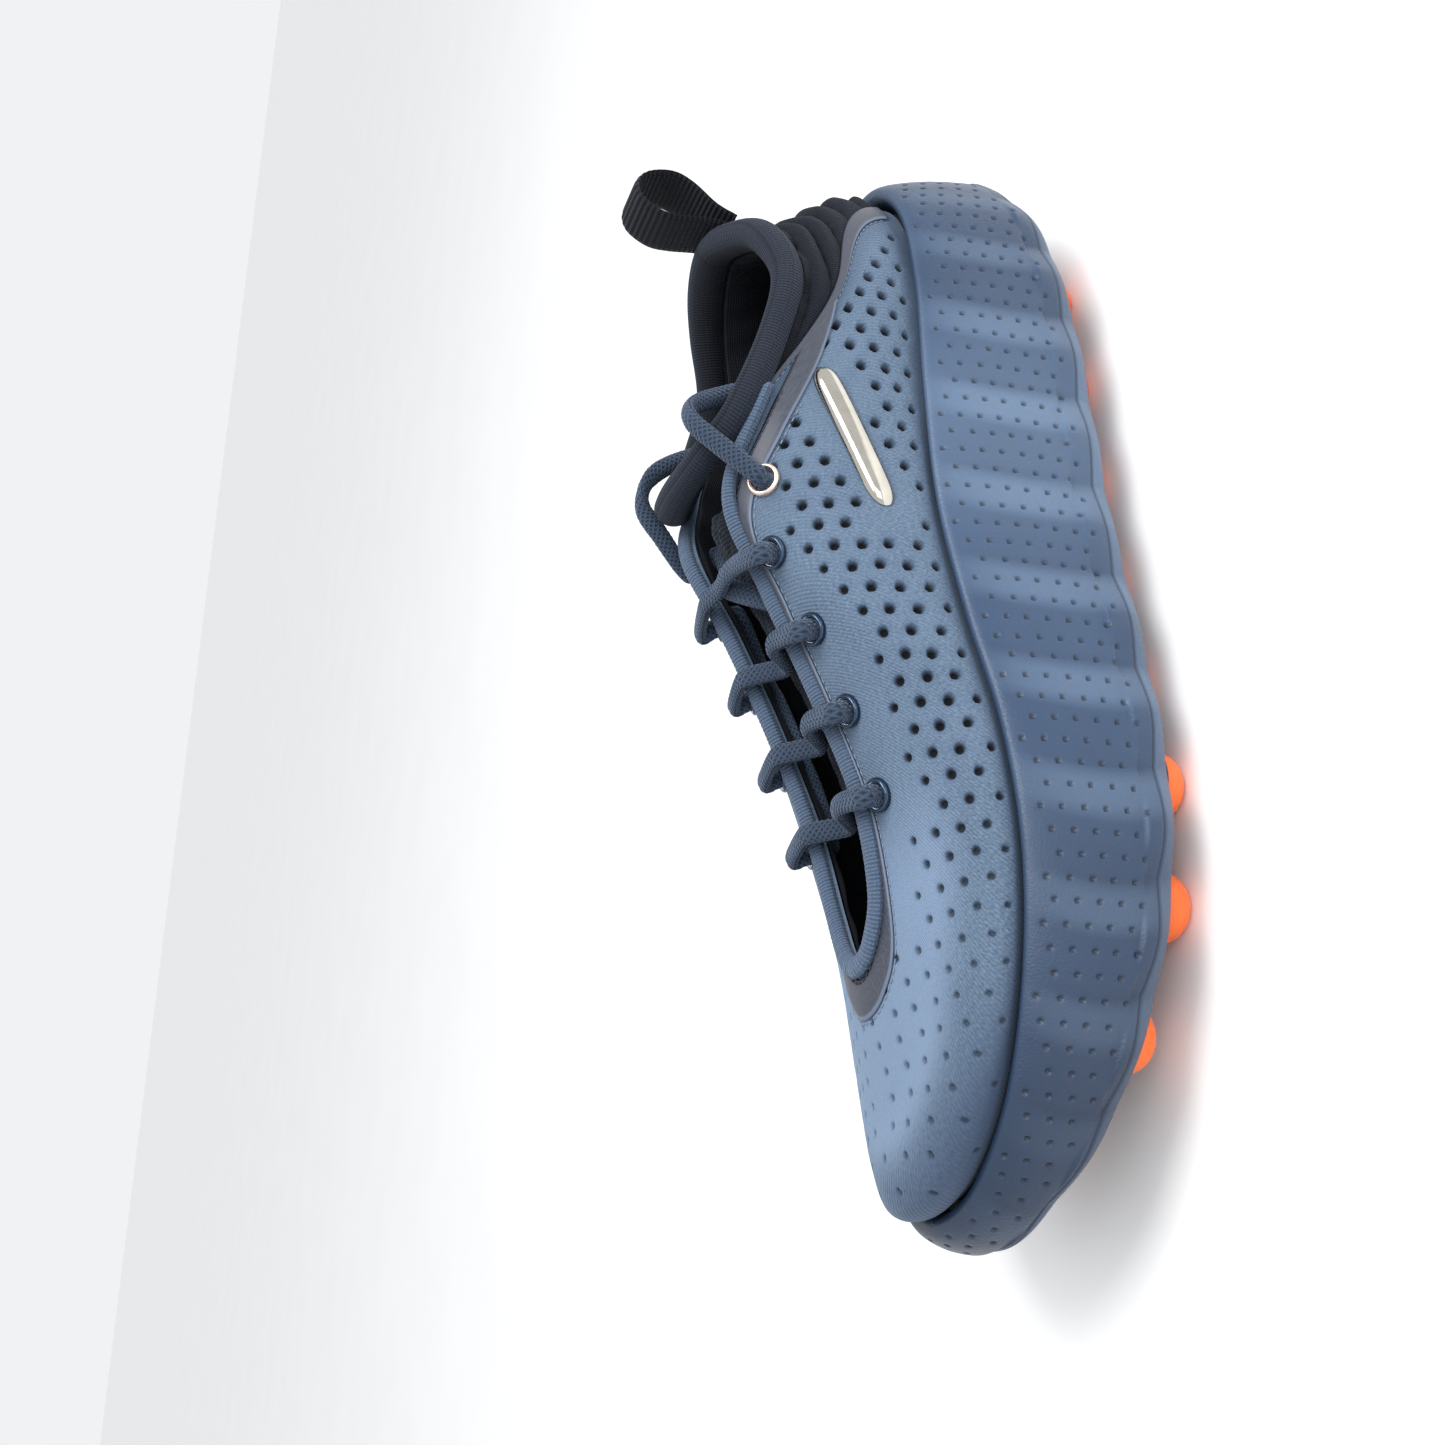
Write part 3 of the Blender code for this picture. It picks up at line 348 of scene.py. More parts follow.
class Paint:
    """Builds one node material. Textures read millimetre coordinates."""

    ATTRIBUTE_VECTOR, ATTRIBUTE_VALUE, OBJECT_PLACE = 1, 2, 3   # numbers of nodes' outputs

    def __init__(self, name, rough=.6, metal=0.0, **sockets):
        self.mat = bpy.data.materials.new(name)
        self.mat.use_nodes = True
        self.tree = self.mat.node_tree
        self.shader = self.tree.nodes["Principled BSDF"]
        self.shader.inputs["Roughness"].default_value = rough
        self.shader.inputs["Metallic"].default_value = metal
        for key, value in sockets.items():
            self.shader.inputs[key.replace("_", " ")].default_value = value
        self.height = None

    def put(self, socket, value):
        if hasattr(value, "is_output"):
            self.tree.links.new(value, socket)
        elif isinstance(value, tuple) and len(value) == 3 and socket.type == "RGBA":
            socket.default_value = (*value, 1)
        else:
            socket.default_value = value

    def node(self, kind, inputs, out=0, **props):
        n = self.tree.nodes.new(kind)
        for key, value in props.items():
            setattr(n, key, value)
        for key, value in inputs.items():
            self.put(n.inputs[key], value)
        return n.outputs[out]

    def value(self, name):
        return self.node("ShaderNodeAttribute", {}, self.ATTRIBUTE_VALUE, attribute_name=name)

    def cloth(self):
        return self.node("ShaderNodeAttribute", {}, self.ATTRIBUTE_VECTOR, attribute_name="cloth")

    def place(self):
        """Object coordinates in millimetres."""
        return self.scaled(self.node("ShaderNodeTexCoord", {}, self.OBJECT_PLACE), (1000, 1000, 1000))

    def scaled(self, vector, stretch):
        return self.node("ShaderNodeVectorMath", {0: vector, 1: stretch}, operation="MULTIPLY")

    def along(self, vector, direction, pitch, phase=0.0):
        """A wave from 0 to 1 along a direction of a millimetre vector."""
        way = tuple(2 * math.pi * d / pitch for d in direction)
        dot = self.node("ShaderNodeVectorMath", {0: vector, 1: way}, 1, operation="DOT_PRODUCT")
        return self.calc("MULTIPLY_ADD", self.calc("SINE", self.calc("ADD", dot, phase)), .5, .5)

    def noise(self, vector, scale, detail=2.0, rough=.5):
        inputs = {"Vector": vector, "Scale": scale, "Detail": detail, "Roughness": rough}
        return self.node("ShaderNodeTexNoise", inputs)

    def calc(self, operation, *values):
        return self.node("ShaderNodeMath", dict(enumerate(values)), operation=operation)

    def span(self, value, low, high, to_low=0.0, to_high=1.0):
        return self.node("ShaderNodeMapRange", {0: value, 1: low, 2: high, 3: to_low, 4: to_high})

    def mix(self, share, a, b):
        """A colour between a (share 0) and b (share 1)."""
        return self.node("ShaderNodeMix", {0: share, 6: a, 7: b}, 2, data_type="RGBA")

    def colour(self, value):
        self.put(self.shader.inputs["Base Color"], value)

    def rough(self, value):
        self.put(self.shader.inputs["Roughness"], value)

    def bump(self, height, distance, strength=1.0):
        """Adds one layer of bump. Distance is in millimetres."""
        inputs = {"Strength": strength, "Distance": distance * .001, "Height": height}
        if self.height is not None:
            inputs["Normal"] = self.height
        self.height = self.node("ShaderNodeBump", inputs)
        self.put(self.shader.inputs["Normal"], self.height)


def fabric_paint():
    """Fine diagonal rib knit, heathered blue, black through its perforations (their dark insides partly
    painted shade), with painted light on the forefoot and painted shade towards the toe, heel and rim, beside
    the seam and round each perforation.
    """
    p = Paint("perforated_knit", .78, Sheen_Weight=.22, Sheen_Roughness=.45, Sheen_Tint=(.62, .78, 1, 1),
              Specular_IOR_Level=.25)
    cloth = p.cloth()
    lines = p.along(cloth, (.80, .60, 0), .92)
    heather = p.noise(p.scaled(cloth, (1.3, .7, 1)), 1.4, 3, .7)
    patches = p.noise(cloth, .05, 2)
    c = p.mix(p.span(heather, .36, .64), (.062, .095, .146), (.132, .188, .270))
    c = p.mix(p.calc("MULTIPLY", lines, .34), c, (.045, .072, .118))
    c = p.mix(p.span(patches, .35, .7, 0, .16), c, (.165, .235, .33))
    # painted light: lighter towards the forefoot, where the light falls
    c = p.mix(p.value("lit"), c, (.23, .32, .47))
    # painted shade: darker towards the toe and heel, along the rim and beside the slanting seam
    c = p.mix(p.value("shade"), c, (.030, .050, .095))
    # painted shade in the soft dimple round each perforation
    c = p.mix(p.value("pucker"), c, (.060, .095, .160))
    # painted shade: near black inside each perforation, over the dark lining seen through it
    p.colour(p.mix(p.value("hole"), c, (.0015, .002, .004)))
    p.bump(lines, .16, .7)
    p.bump(heather, .12, .5)
    return p.mat


def midsole_paint():
    """Moulded foam with a fine leathery grain, with painted light on the ripples and mid-side, and painted
    shade in the dimples and creases, inside the rim, underneath and towards toe and heel.
    """
    p = Paint("moulded_foam", .46, Specular_IOR_Level=.42)
    cloth = p.cloth()
    cells = p.node("ShaderNodeTexVoronoi", {"Vector": cloth, "Scale": 1.9}, feature="SMOOTH_F1")
    grain = p.noise(cloth, 2.8, 3, .6)
    cloud = p.noise(cloth, .035, 3)
    c = p.mix(p.span(cloud, .3, .7), (.021, .047, .099), (.030, .062, .124))
    # painted light: the pale mask lightens the ripples' slopes that face the light and the middle of the
    # side, with lighter bands at the rim's crest and the bottom bevel
    c = p.mix(p.calc("MULTIPLY", p.value("pale"), .80), c, (.125, .190, .290))
    c = p.mix(p.span(cells, .0, .9, .16, 0), c, (.04, .062, .115))
    # painted shade: towards toe and heel, in the ripples' creases, inside the rim and underneath
    c = p.mix(p.value("shade"), c, (.012, .024, .052))
    c = p.mix(p.value("line"), c, (.012, .018, .034))
    # painted shade in the dimples
    p.colour(p.mix(p.calc("MULTIPLY", p.value("hole"), .72), c, (.010, .016, .035)))
    p.rough(p.span(grain, .3, .7, .33, .49))
    p.bump(cells, .16, .55)
    p.bump(grain, .10, .45)
    return p.mat


def knit_paint(name, low, high, way, pitch=1.1, cross=1.5, rough=.85, sheen=.25):
    """Ribbed knit along one direction of its own cloth coordinates, darkened to near black where painted
    shade is marked.
    """
    p = Paint(name, rough, Sheen_Weight=sheen, Sheen_Roughness=.5, Sheen_Tint=(.6, .7, .9, 1),
              Specular_IOR_Level=.2)
    cloth = p.cloth()
    ribs = p.along(cloth, way, pitch)
    loops = p.along(cloth, (way[1], way[0], 0), cross, 1.0)
    fuzz = p.noise(cloth, 1.7, 3, .7)
    weave = p.calc("MULTIPLY", ribs, p.calc("MULTIPLY_ADD", loops, .4, .6))
    c = p.mix(weave, low, high)
    c = p.mix(p.span(fuzz, .35, .7, 0, .35), c, tuple(min(1, 1.5 * k) for k in high))
    # painted shade: near black where the shade attribute is marked
    p.colour(p.mix(p.value("shade"), c, (.0025, .003, .005)))
    p.bump(weave, .35, .8)
    p.bump(fuzz, .15, .5)
    return p.mat


def tape_paint():
    """Bonded film tape: satin, faintly crazed, with a pale outer line and a dark seam."""
    p = Paint("bonded_tape", .42, Specular_IOR_Level=.45)
    cloth = p.cloth()
    craze = p.noise(cloth, 1.2, 4, .7)
    fleck = p.noise(p.scaled(cloth, (3, .6, 1)), 1.0, 2)
    c = p.mix(p.span(craze, .35, .68), (.026, .032, .050), (.058, .066, .090))
    c = p.mix(p.span(fleck, .6, .75, 0, .35), c, (.17, .19, .24))
    c = p.mix(p.value("pale"), c, (.13, .17, .25))
    p.colour(p.mix(p.value("line"), c, (.006, .008, .014)))
    p.rough(p.span(craze, .3, .7, .34, .55))
    p.bump(craze, .10, .5)
    return p.mat


def braid_paint():
    """Two sets of strands crossing each other."""
    p = Paint("braided_lace", .82, Sheen_Weight=.3, Sheen_Roughness=.4, Sheen_Tint=(.6, .72, .95, 1),
              Specular_IOR_Level=.2)
    cloth = p.cloth()
    one, two = p.along(cloth, (1, .95, 0), 1.55), p.along(cloth, (1, -.95, 0), 1.55)
    strands = p.calc("MAXIMUM", one, two)
    fuzz = p.noise(cloth, 2.4, 3, .7)
    c = p.mix(strands, (.006, .010, .019), (.036, .056, .094))
    p.colour(p.mix(p.span(fuzz, .4, .75, 0, .5), c, (.068, .096, .145)))
    p.bump(strands, .45, .9)
    p.bump(fuzz, .14, .5)
    return p.mat


def plain_paint(name, low, high, rough=(.35, .5), scale=.6, metal=0.0, grain=.05, **sockets):
    """Moulded or metal finish: two near tones in soft patches, fine grain, uneven gloss."""
    p = Paint(name, rough[0], metal, **sockets)
    where = p.place()
    patch, fine = p.noise(where, scale, 3), p.noise(where, scale * 9, 2)
    p.colour(p.mix(p.span(patch, .3, .7), low, high))
    p.rough(p.span(fine, .3, .7, *rough))
    p.bump(fine, grain, .5)
    return p.mat


def pod_paint():
    """Glossy elastic orange, darkened by painted shade towards its root, where it goes into the sole."""
    p = Paint("pod_foam", .3, Subsurface_Weight=.25, Subsurface_Scale=.006, Specular_IOR_Level=.45)
    p.shader.inputs["Subsurface Radius"].default_value = (1, .3, .1)
    where = p.place()
    fine = p.noise(where, 2.2, 3)
    deep = p.value("shade")
    c = p.mix(p.span(fine, .35, .65), (.98, .155, .022), (1.0, .195, .035))
    p.colour(p.mix(deep, c, (.55, .06, .01)))
    p.rough(p.span(fine, .3, .7, .26, .38))
    p.bump(fine, .05, .5)
    return p.mat


def eyelet_paint(name, outer, inner):
    """Painted outer ring, bare bright inner ring."""
    p = Paint(name, .22, .9)
    fine = p.noise(p.place(), 3.0, 3)
    c = p.mix(p.value("pale"), outer, inner)
    p.colour(p.mix(p.span(fine, .55, .8, 0, .25), c, (.5, .5, .5)))
    p.rough(p.span(fine, .3, .7, .14, .30))
    return p.mat


PERFORATED = fabric_paint()
FOAM = midsole_paint()
TAPE = tape_paint()
BRAID = braid_paint()
BELLOWS = knit_paint("bellows_knit", (.0010, .0015, .004), (.0045, .007, .016), (1, 0, 0), .8, 1.1, .8, .05)
COLLAR = knit_paint("collar_knit", (.0045, .006, .011), (.017, .023, .038), (1, 0, 0), .85, 1.1, .8, .08)
LINING = knit_paint("lining_knit", (.002, .0025, .004), (.007, .009, .014), (0, 1, 0), 1.3, 1.6, .9, .05)
TONGUE = knit_paint("tongue_knit", (.002, .003, .005), (.011, .015, .024), (0, 1, 0), 1.0, 1.3, .88, .1)
BINDING = knit_paint("binding_knit", (.035, .055, .095), (.085, .125, .190), (1, 0, 0), .9, 1.2)
THREAD = plain_paint("thread", (.13, .18, .26), (.20, .26, .36), (.6, .75), 2.0, grain=.03)
THREAD_DARK = plain_paint("dark_thread", (.012, .016, .028), (.03, .04, .065), (.6, .75), 2.0, grain=.03)
POD = pod_paint()
RUBBER = plain_paint("toe_rubber", (.006, .006, .007), (.013, .013, .015), (.48, .66), .5, grain=.08)
NICKEL = plain_paint("polished_nickel", (.50, .47, .42), (.60, .57, .51), (.08, .16), .25, 1.0, grain=.006)
EYELET = eyelet_paint("enamelled_eyelet", (.045, .072, .120), (.66, .72, .80))
EYELET_TOP = eyelet_paint("rose_eyelet", (.80, .56, .46), (.86, .68, .58))
WEBBING = knit_paint("loop_webbing", (.0015, .0018, .0025), (.008, .009, .012), (0, 1, 0), 1.5, 1.0, .7, .06)
INSOLE = plain_paint("insole_cloth", (.012, .015, .022), (.024, .030, .042), (.85, .95), .8, grain=.12)
BOARD = plain_paint("board_fibre", (.40, .38, .35), (.52, .50, .46), (.85, .95), 1.2, grain=.08)
PLASTIC = plain_paint("stiffener", (.03, .03, .032), (.045, .045, .05), (.4, .55), .6, grain=.04)
TIP = plain_paint("lace_tip", (.02, .03, .05), (.035, .048, .075), (.12, .22), 1.0, grain=.01, Coat_Weight=.6)


# ---------------------------------------------------------------- camera and light

def aim(obj, place, forward, up):
    """Puts an object at place, looking along forward with its top along up."""
    back = -Vector(forward).normalized()
    right = Vector(up).cross(back).normalized()
    turn = Matrix((right, back.cross(right), back)).transposed().to_4x4()
    obj.matrix_world = Matrix.Translation(Vector(place)) @ turn


def make_camera():
    camera = bpy.data.cameras.new("camera")
    camera.sensor_width = 36
    camera.lens = 41.6
    camera.clip_start, camera.clip_end = .01, 20
    obj = bpy.data.objects.new("camera", camera)
    bpy.context.scene.collection.objects.link(obj)
    aim(obj, (.3593, -.1969, .2342), (-.859, .405, -.312), (.388, .914, .118))
    bpy.context.scene.camera = obj


def make_light(name, place, target, size, power, colour):
    light = bpy.data.lights.new(name, "AREA")
    light.shape, light.size, light.size_y = "RECTANGLE", size[0], size[1]
    light.energy, light.color = power, colour
    obj = bpy.data.objects.new(name, light)
    bpy.context.scene.collection.objects.link(obj)
    aim(obj, place, Vector(target) - Vector(place), (0, 0, 1))


def make_studio():
    scene = bpy.context.scene
    scene.view_settings.view_transform = "Standard"
    world = bpy.data.worlds.new("studio")
    scene.world = world
    world.use_nodes = True
    back = world.node_tree.nodes["Background"]
    back.inputs["Color"].default_value = (.97, .985, 1, 1)
    back.inputs["Strength"].default_value = .90
    make_light("key", (.52, .34, .95), (0, .0, .05), (.6, .5), 9, (1, .99, .97))
    make_light("side", (.95, -.10, .55), (0, -.05, .05), (.5, .8), 4.2, (.97, .985, 1))
    half = 60.0
    corners = [(-half, -half, 0), (half, -half, 0), (half, half, 0), (-half, half, 0)]
    mesh = bpy.data.meshes.new("floor")
    mesh.from_pydata(corners, [], [(0, 1, 2, 3)])
    floor = bpy.data.objects.new("floor", mesh)
    scene.collection.objects.link(floor)
    mesh.materials.append(
        plain_paint("pale_floor", (.90, .90, .90), (.92, .92, .92), (.75, .85), .01, grain=.01))


make_camera()
make_studio()


# ---------------------------------------------------------------- laces (first of all pieces)

def eyelet_places(lateral):
    """(point, normal) of one side's eyelets, top to toe."""
    t = station_for(np.array(EYELETS_Y, float), EYELET_RIB, lateral)
    return list(zip(skin(t, EYELET_RIB), normal_at(t, EYELET_RIB)))


LATERAL, MEDIAL = eyelet_places(True), eyelet_places(False)
BAR_SLACK = [(13, 4.6), (9, 4.0), (5, 0.4), (0, -3.4)]
BAR_TIGHT = [(13, 5.6), (7, 6.4), (0, 5.6)]
MEDIAL_DRAW = .86
# A free end of lace: over the collar and down, then lying on the insole (x and y).
LACE_END_ROUTE = [(26, 39, 112), (23, 47, 118.5), (18.5, 55, 116), (17, 63, 103), (18.5, 71, 82),
                  (20, 79, 60)]
LACE_END_LYING = [(21, 80), (22, 64), (22, 40), (20, 14), (16, -6), (9.5, -10), (6, 2), (6.5, 20),
                  (8, 44), (8, 66)]
LACE_LIES = 3.4            # the lace's middle above the insole
LACE_ENDS = {"lateral": 250.0, "medial": 236.0}
BAR_HALVES, TAIL_HALVES = (2.75, 1.65), (2.5, 1.7)   # half width and half thickness
STRAND, STRAND_PITCH, STRAND_LIFT = 1.55, 1.63, .16


def crown_at(y):
    """Height of the throat's edge over y, lateral side."""
    return np.interp(y, EDGE[6:13, 1][::-1], EDGE[6:13, 2][::-1])


def lace_route():
    """The lace through the eyelets: bars over the throat and runs beneath the fabric."""
    def up_through(spot):
        p, n = spot
        return [p + n * far for far in (-LACE_DEPTH, -2.6, -.3, 2.4, 5.6)]

    def over(y, sign, dips):
        crown = crown_at(y)
        way = [(sign * x, crown + z) for x, z in dips]
        return [np.array([x, y, z]) for x, z in way + [(-x, z) for x, z in way[-2::-1]]]

    def under(k, m, lateral, shift=0.0):
        v = EYELET_RIB - shift
        ys = np.array([EYELETS_Y[k] + (EYELETS_Y[m] - EYELETS_Y[k]) * s for s in (.28, .5, .72)])
        return list(skin(station_for(ys, v, lateral), v, -LACE_DEPTH))

    def bar(k, first, second, dips=BAR_SLACK):
        sign = math.copysign(1, first[k][0][0])
        return up_through(first[k]) + over(EYELETS_Y[k], sign, dips) + up_through(second[k])[::-1]

    p, n = LATERAL[0]
    route = [p - n * .2, p - n * 2.6, p - n * LACE_DEPTH]
    route += under(0, 1, True) + bar(1, LATERAL, MEDIAL, BAR_TIGHT)
    route += under(1, 3, False, LACE_SHIFT) + bar(3, MEDIAL, LATERAL)
    route += under(3, 4, True) + bar(4, LATERAL, MEDIAL)
    route += under(4, 2, False, -LACE_SHIFT) + bar(2, MEDIAL, LATERAL)
    for x, z in ((12.5, -6.4), (9, -2.6), (5, 0.6), (0, 2.2), (-5, 0.6), (-9, -2.6), (-12.5, -6.4)):
        y = EYELETS_Y[1] - .75 * x
        route.append(np.array([x, y, crown_at(y) + z]))
    p, n = MEDIAL[0]
    return route + [p - n * LACE_DEPTH, p - n * 2.6, p - n * .2]


def sweep(path, half_wide, half_thick, sides):
    """(grid, cloth) of an oval braided tube."""
    ahead = unit(np.gradient(path, axis=0))
    side = across_lace(ahead)
    for k in range(1, len(side)):
        if side[k] @ side[k - 1] < 0:
            side[k] = -side[k]
    pad = np.concatenate([np.repeat(side[:1], 12, 0), side, np.repeat(side[-1:], 12, 0)])
    side = np.stack([np.convolve(pad[:, k], np.ones(25) / 25, "valid") for k in range(3)], 1)
    side = unit(side - ahead * (side * ahead).sum(1, keepdims=True))
    other = np.cross(ahead, side)
    step = np.linalg.norm(path[1] - path[0])
    s = np.arange(len(path)) * step
    a = np.arange(sides) * 2 * math.pi / sides
    round_mm = 2 * math.pi * math.sqrt((half_wide ** 2 + half_thick ** 2) / 2)
    u = a / (2 * math.pi) * round_mm
    strands = round(round_mm / STRAND) * a[None]
    turns = s[:, None] * 2 * math.pi / STRAND_PITCH
    lift = STRAND_LIFT * np.maximum(np.sin(strands + turns), np.sin(strands - turns))
    wide = half_wide + lift
    thick = half_thick + lift
    ends = np.minimum(1, (np.minimum(s, s[-1] - s) + .01) / 1.0)[:, None] ** .5
    grid = (path[:, None] + (np.cos(a) * wide * ends)[..., None] * side[:, None]
            + (np.sin(a) * thick * ends)[..., None] * other[:, None])
    return grid, np.stack(np.broadcast_arrays(s[:, None], u[None], 0.0), -1)


def lace_piece(name, path, halves, stands_for, sides):
    """A capped run of lace."""
    grid, cloth = sweep(path, *halves, sides)
    faces = grid_faces(*grid.shape[:2], wrap_cols=True).tolist()
    rows, cols = grid.shape[:2]
    count = rows * cols
    faces += [list(range(cols)), list(range(count - 1, count - cols - 1, -1))]
    if volume(grid.reshape(-1, 3), np.array(faces[:-2])) < 0:
        faces = [f[::-1] for f in faces]
    return add_piece(name, grid, faces, BRAID, [stands_for], "lace", cloth=cloth)


def across_lace(ahead):
    """The lace's wide side lies along the shoe, and turns sideways where the lace itself runs along it."""
    y_share = np.abs(ahead[:, 1:2]) ** 3
    wish = np.array([[0, 1.0, 0]]) * (1 - y_share) + np.array([[1.0, 0, 0]]) * y_share
    return unit(wish - ahead * (wish * ahead).sum(1, keepdims=True))


def make_laces():
    """The laced part and the two free ends with their tips."""
    path, _ = densify(lace_route(), 1300)
    lace_piece("lace_bars", path, BAR_HALVES, "lace", 26)
    for name, spots in (("lateral", LATERAL), ("medial", MEDIAL)):
        length = LACE_ENDS[name]
        p, n = spots[0]
        s = math.copysign(1, p[0])
        draw = 1 if s > 0 else MEDIAL_DRAW
        inside = [(s * x * draw, y, z) for x, y, z in LACE_END_ROUTE]
        lying = [(s * x, y, insole_top(y) + LACE_LIES) for x, y in LACE_END_LYING]
        route = [p + n * .15, p + n * 2.4, p + n * 5.6, *inside, *lying]
        whole, total = densify(route, 40 * len(route))
        along = np.linspace(0, total, len(whole))
        stops = np.linspace(0, length, 640)
        path = np.stack([np.interp(stops, along, whole[:, k]) for k in range(3)], 1)
        cord = lace_piece(f"lace_tail_{name}", path, TAIL_HALVES, f"lace_end_{name}", 22)
        profile = [(1.2, -3.0), (1.72, -2.4), (1.78, 0), (1.66, 3), (1.62, 17), (1.35, 18.6),
                   (.9, 19.4), (.0, 19.7)]
        grid, _ = spun(profile, 24, path[-1], unit(path[-1] - path[-6]))
        aglet = add_tube(f"aglet_{name}_tip", grid, TIP, [f"aglet_{name}"], "aglet")


# ---------------------------------------------------------------- sole

RIPPLE_HEIGHT = 2.7
HEEL_KICK = 5.0
CREST_YS = (103, 76, 49, 21, -6, -33, -61)   # crests down each side, with index 3 first
FIRST_CREST, TOE_CRESTS = 3, 4.5
DIMPLE_STEP, DIMPLE_PITCH = 5.5, 5.3   # along the wall and up it
DIMPLE_FROM, DIMPLE_STOP = 12.5, 3.4   # above the bottom edge, and below the rim's crest
DIMPLE_R = .72
PARTING = 7.6                          # height of the moulding line
WALL_HEIGHT = 48                       # usual height of the wall
CREST_INSET = 5.6
WALL_LINE = np.array([   # inset, share of the height, millimetres above it
    (12.0, 0, 0), (10.0, 0, 0), (8.2, 0, 0), (CREST_INSET, .015, 0), (2.8, .065, 0), (.8, .16, 0),
    (0, .30, 0), (.15, .45, 0),
    (.8, .62, 0), (1.9, .78, 0), (3.1, .90, 0), (4.3, .975, 0), (CREST_INSET, 1.0, .1), (7.2, 1.0, -.4),
    (8.6, 1.0, -2.2), (9.4, 1.0, -4.8), (9.6, 1.0, -7.0), (9.8, 1.0, -8.8), (13.4, 1.0, -9.4),
])
TOE = SIDE // 2
STATIONS = np.linspace(0, SIDE, 4801)
ARC = run_along(perimeter(STATIONS), 0)   # distance along the outline at STATIONS


def side_arc(t):
    """Distance of stations from the heel's middle along the outline, by the nearer way."""
    t = np.asarray(t, float) % SIDE
    at = np.interp(t, STATIONS, ARC)
    return np.where(t <= TOE, at, ARC[-1] - at)


def ripple_phase(t):
    """The wave's phase at stations t: whole turns at each crest."""
    at = side_arc(t)
    last_crest = FIRST_CREST + len(CREST_YS) - 1
    turns = [0, *range(FIRST_CREST, last_crest + 1), last_crest + TOE_CRESTS]
    phase = np.zeros(at.shape)
    for lateral, middle in ((True, TOE), (False, TOE + 1e-4)):
        here = (t % SIDE <= TOE) == lateral
        crests = side_arc([station_on_outline(y, lateral) for y in CREST_YS])
        phase = np.where(here, np.interp(at, [0, *crests, float(side_arc(middle))], turns), phase)
    return phase * 2 * math.pi


def station_on_outline(y, lateral):
    """Station of the outline at y, on one side."""
    ts = np.linspace(.5, 11.5, 1101)
    ys = perimeter(ts if lateral else SIDE - ts)[:, 1]
    t = float(np.interp(-y, -ys, ts))
    return t if lateral else SIDE - t


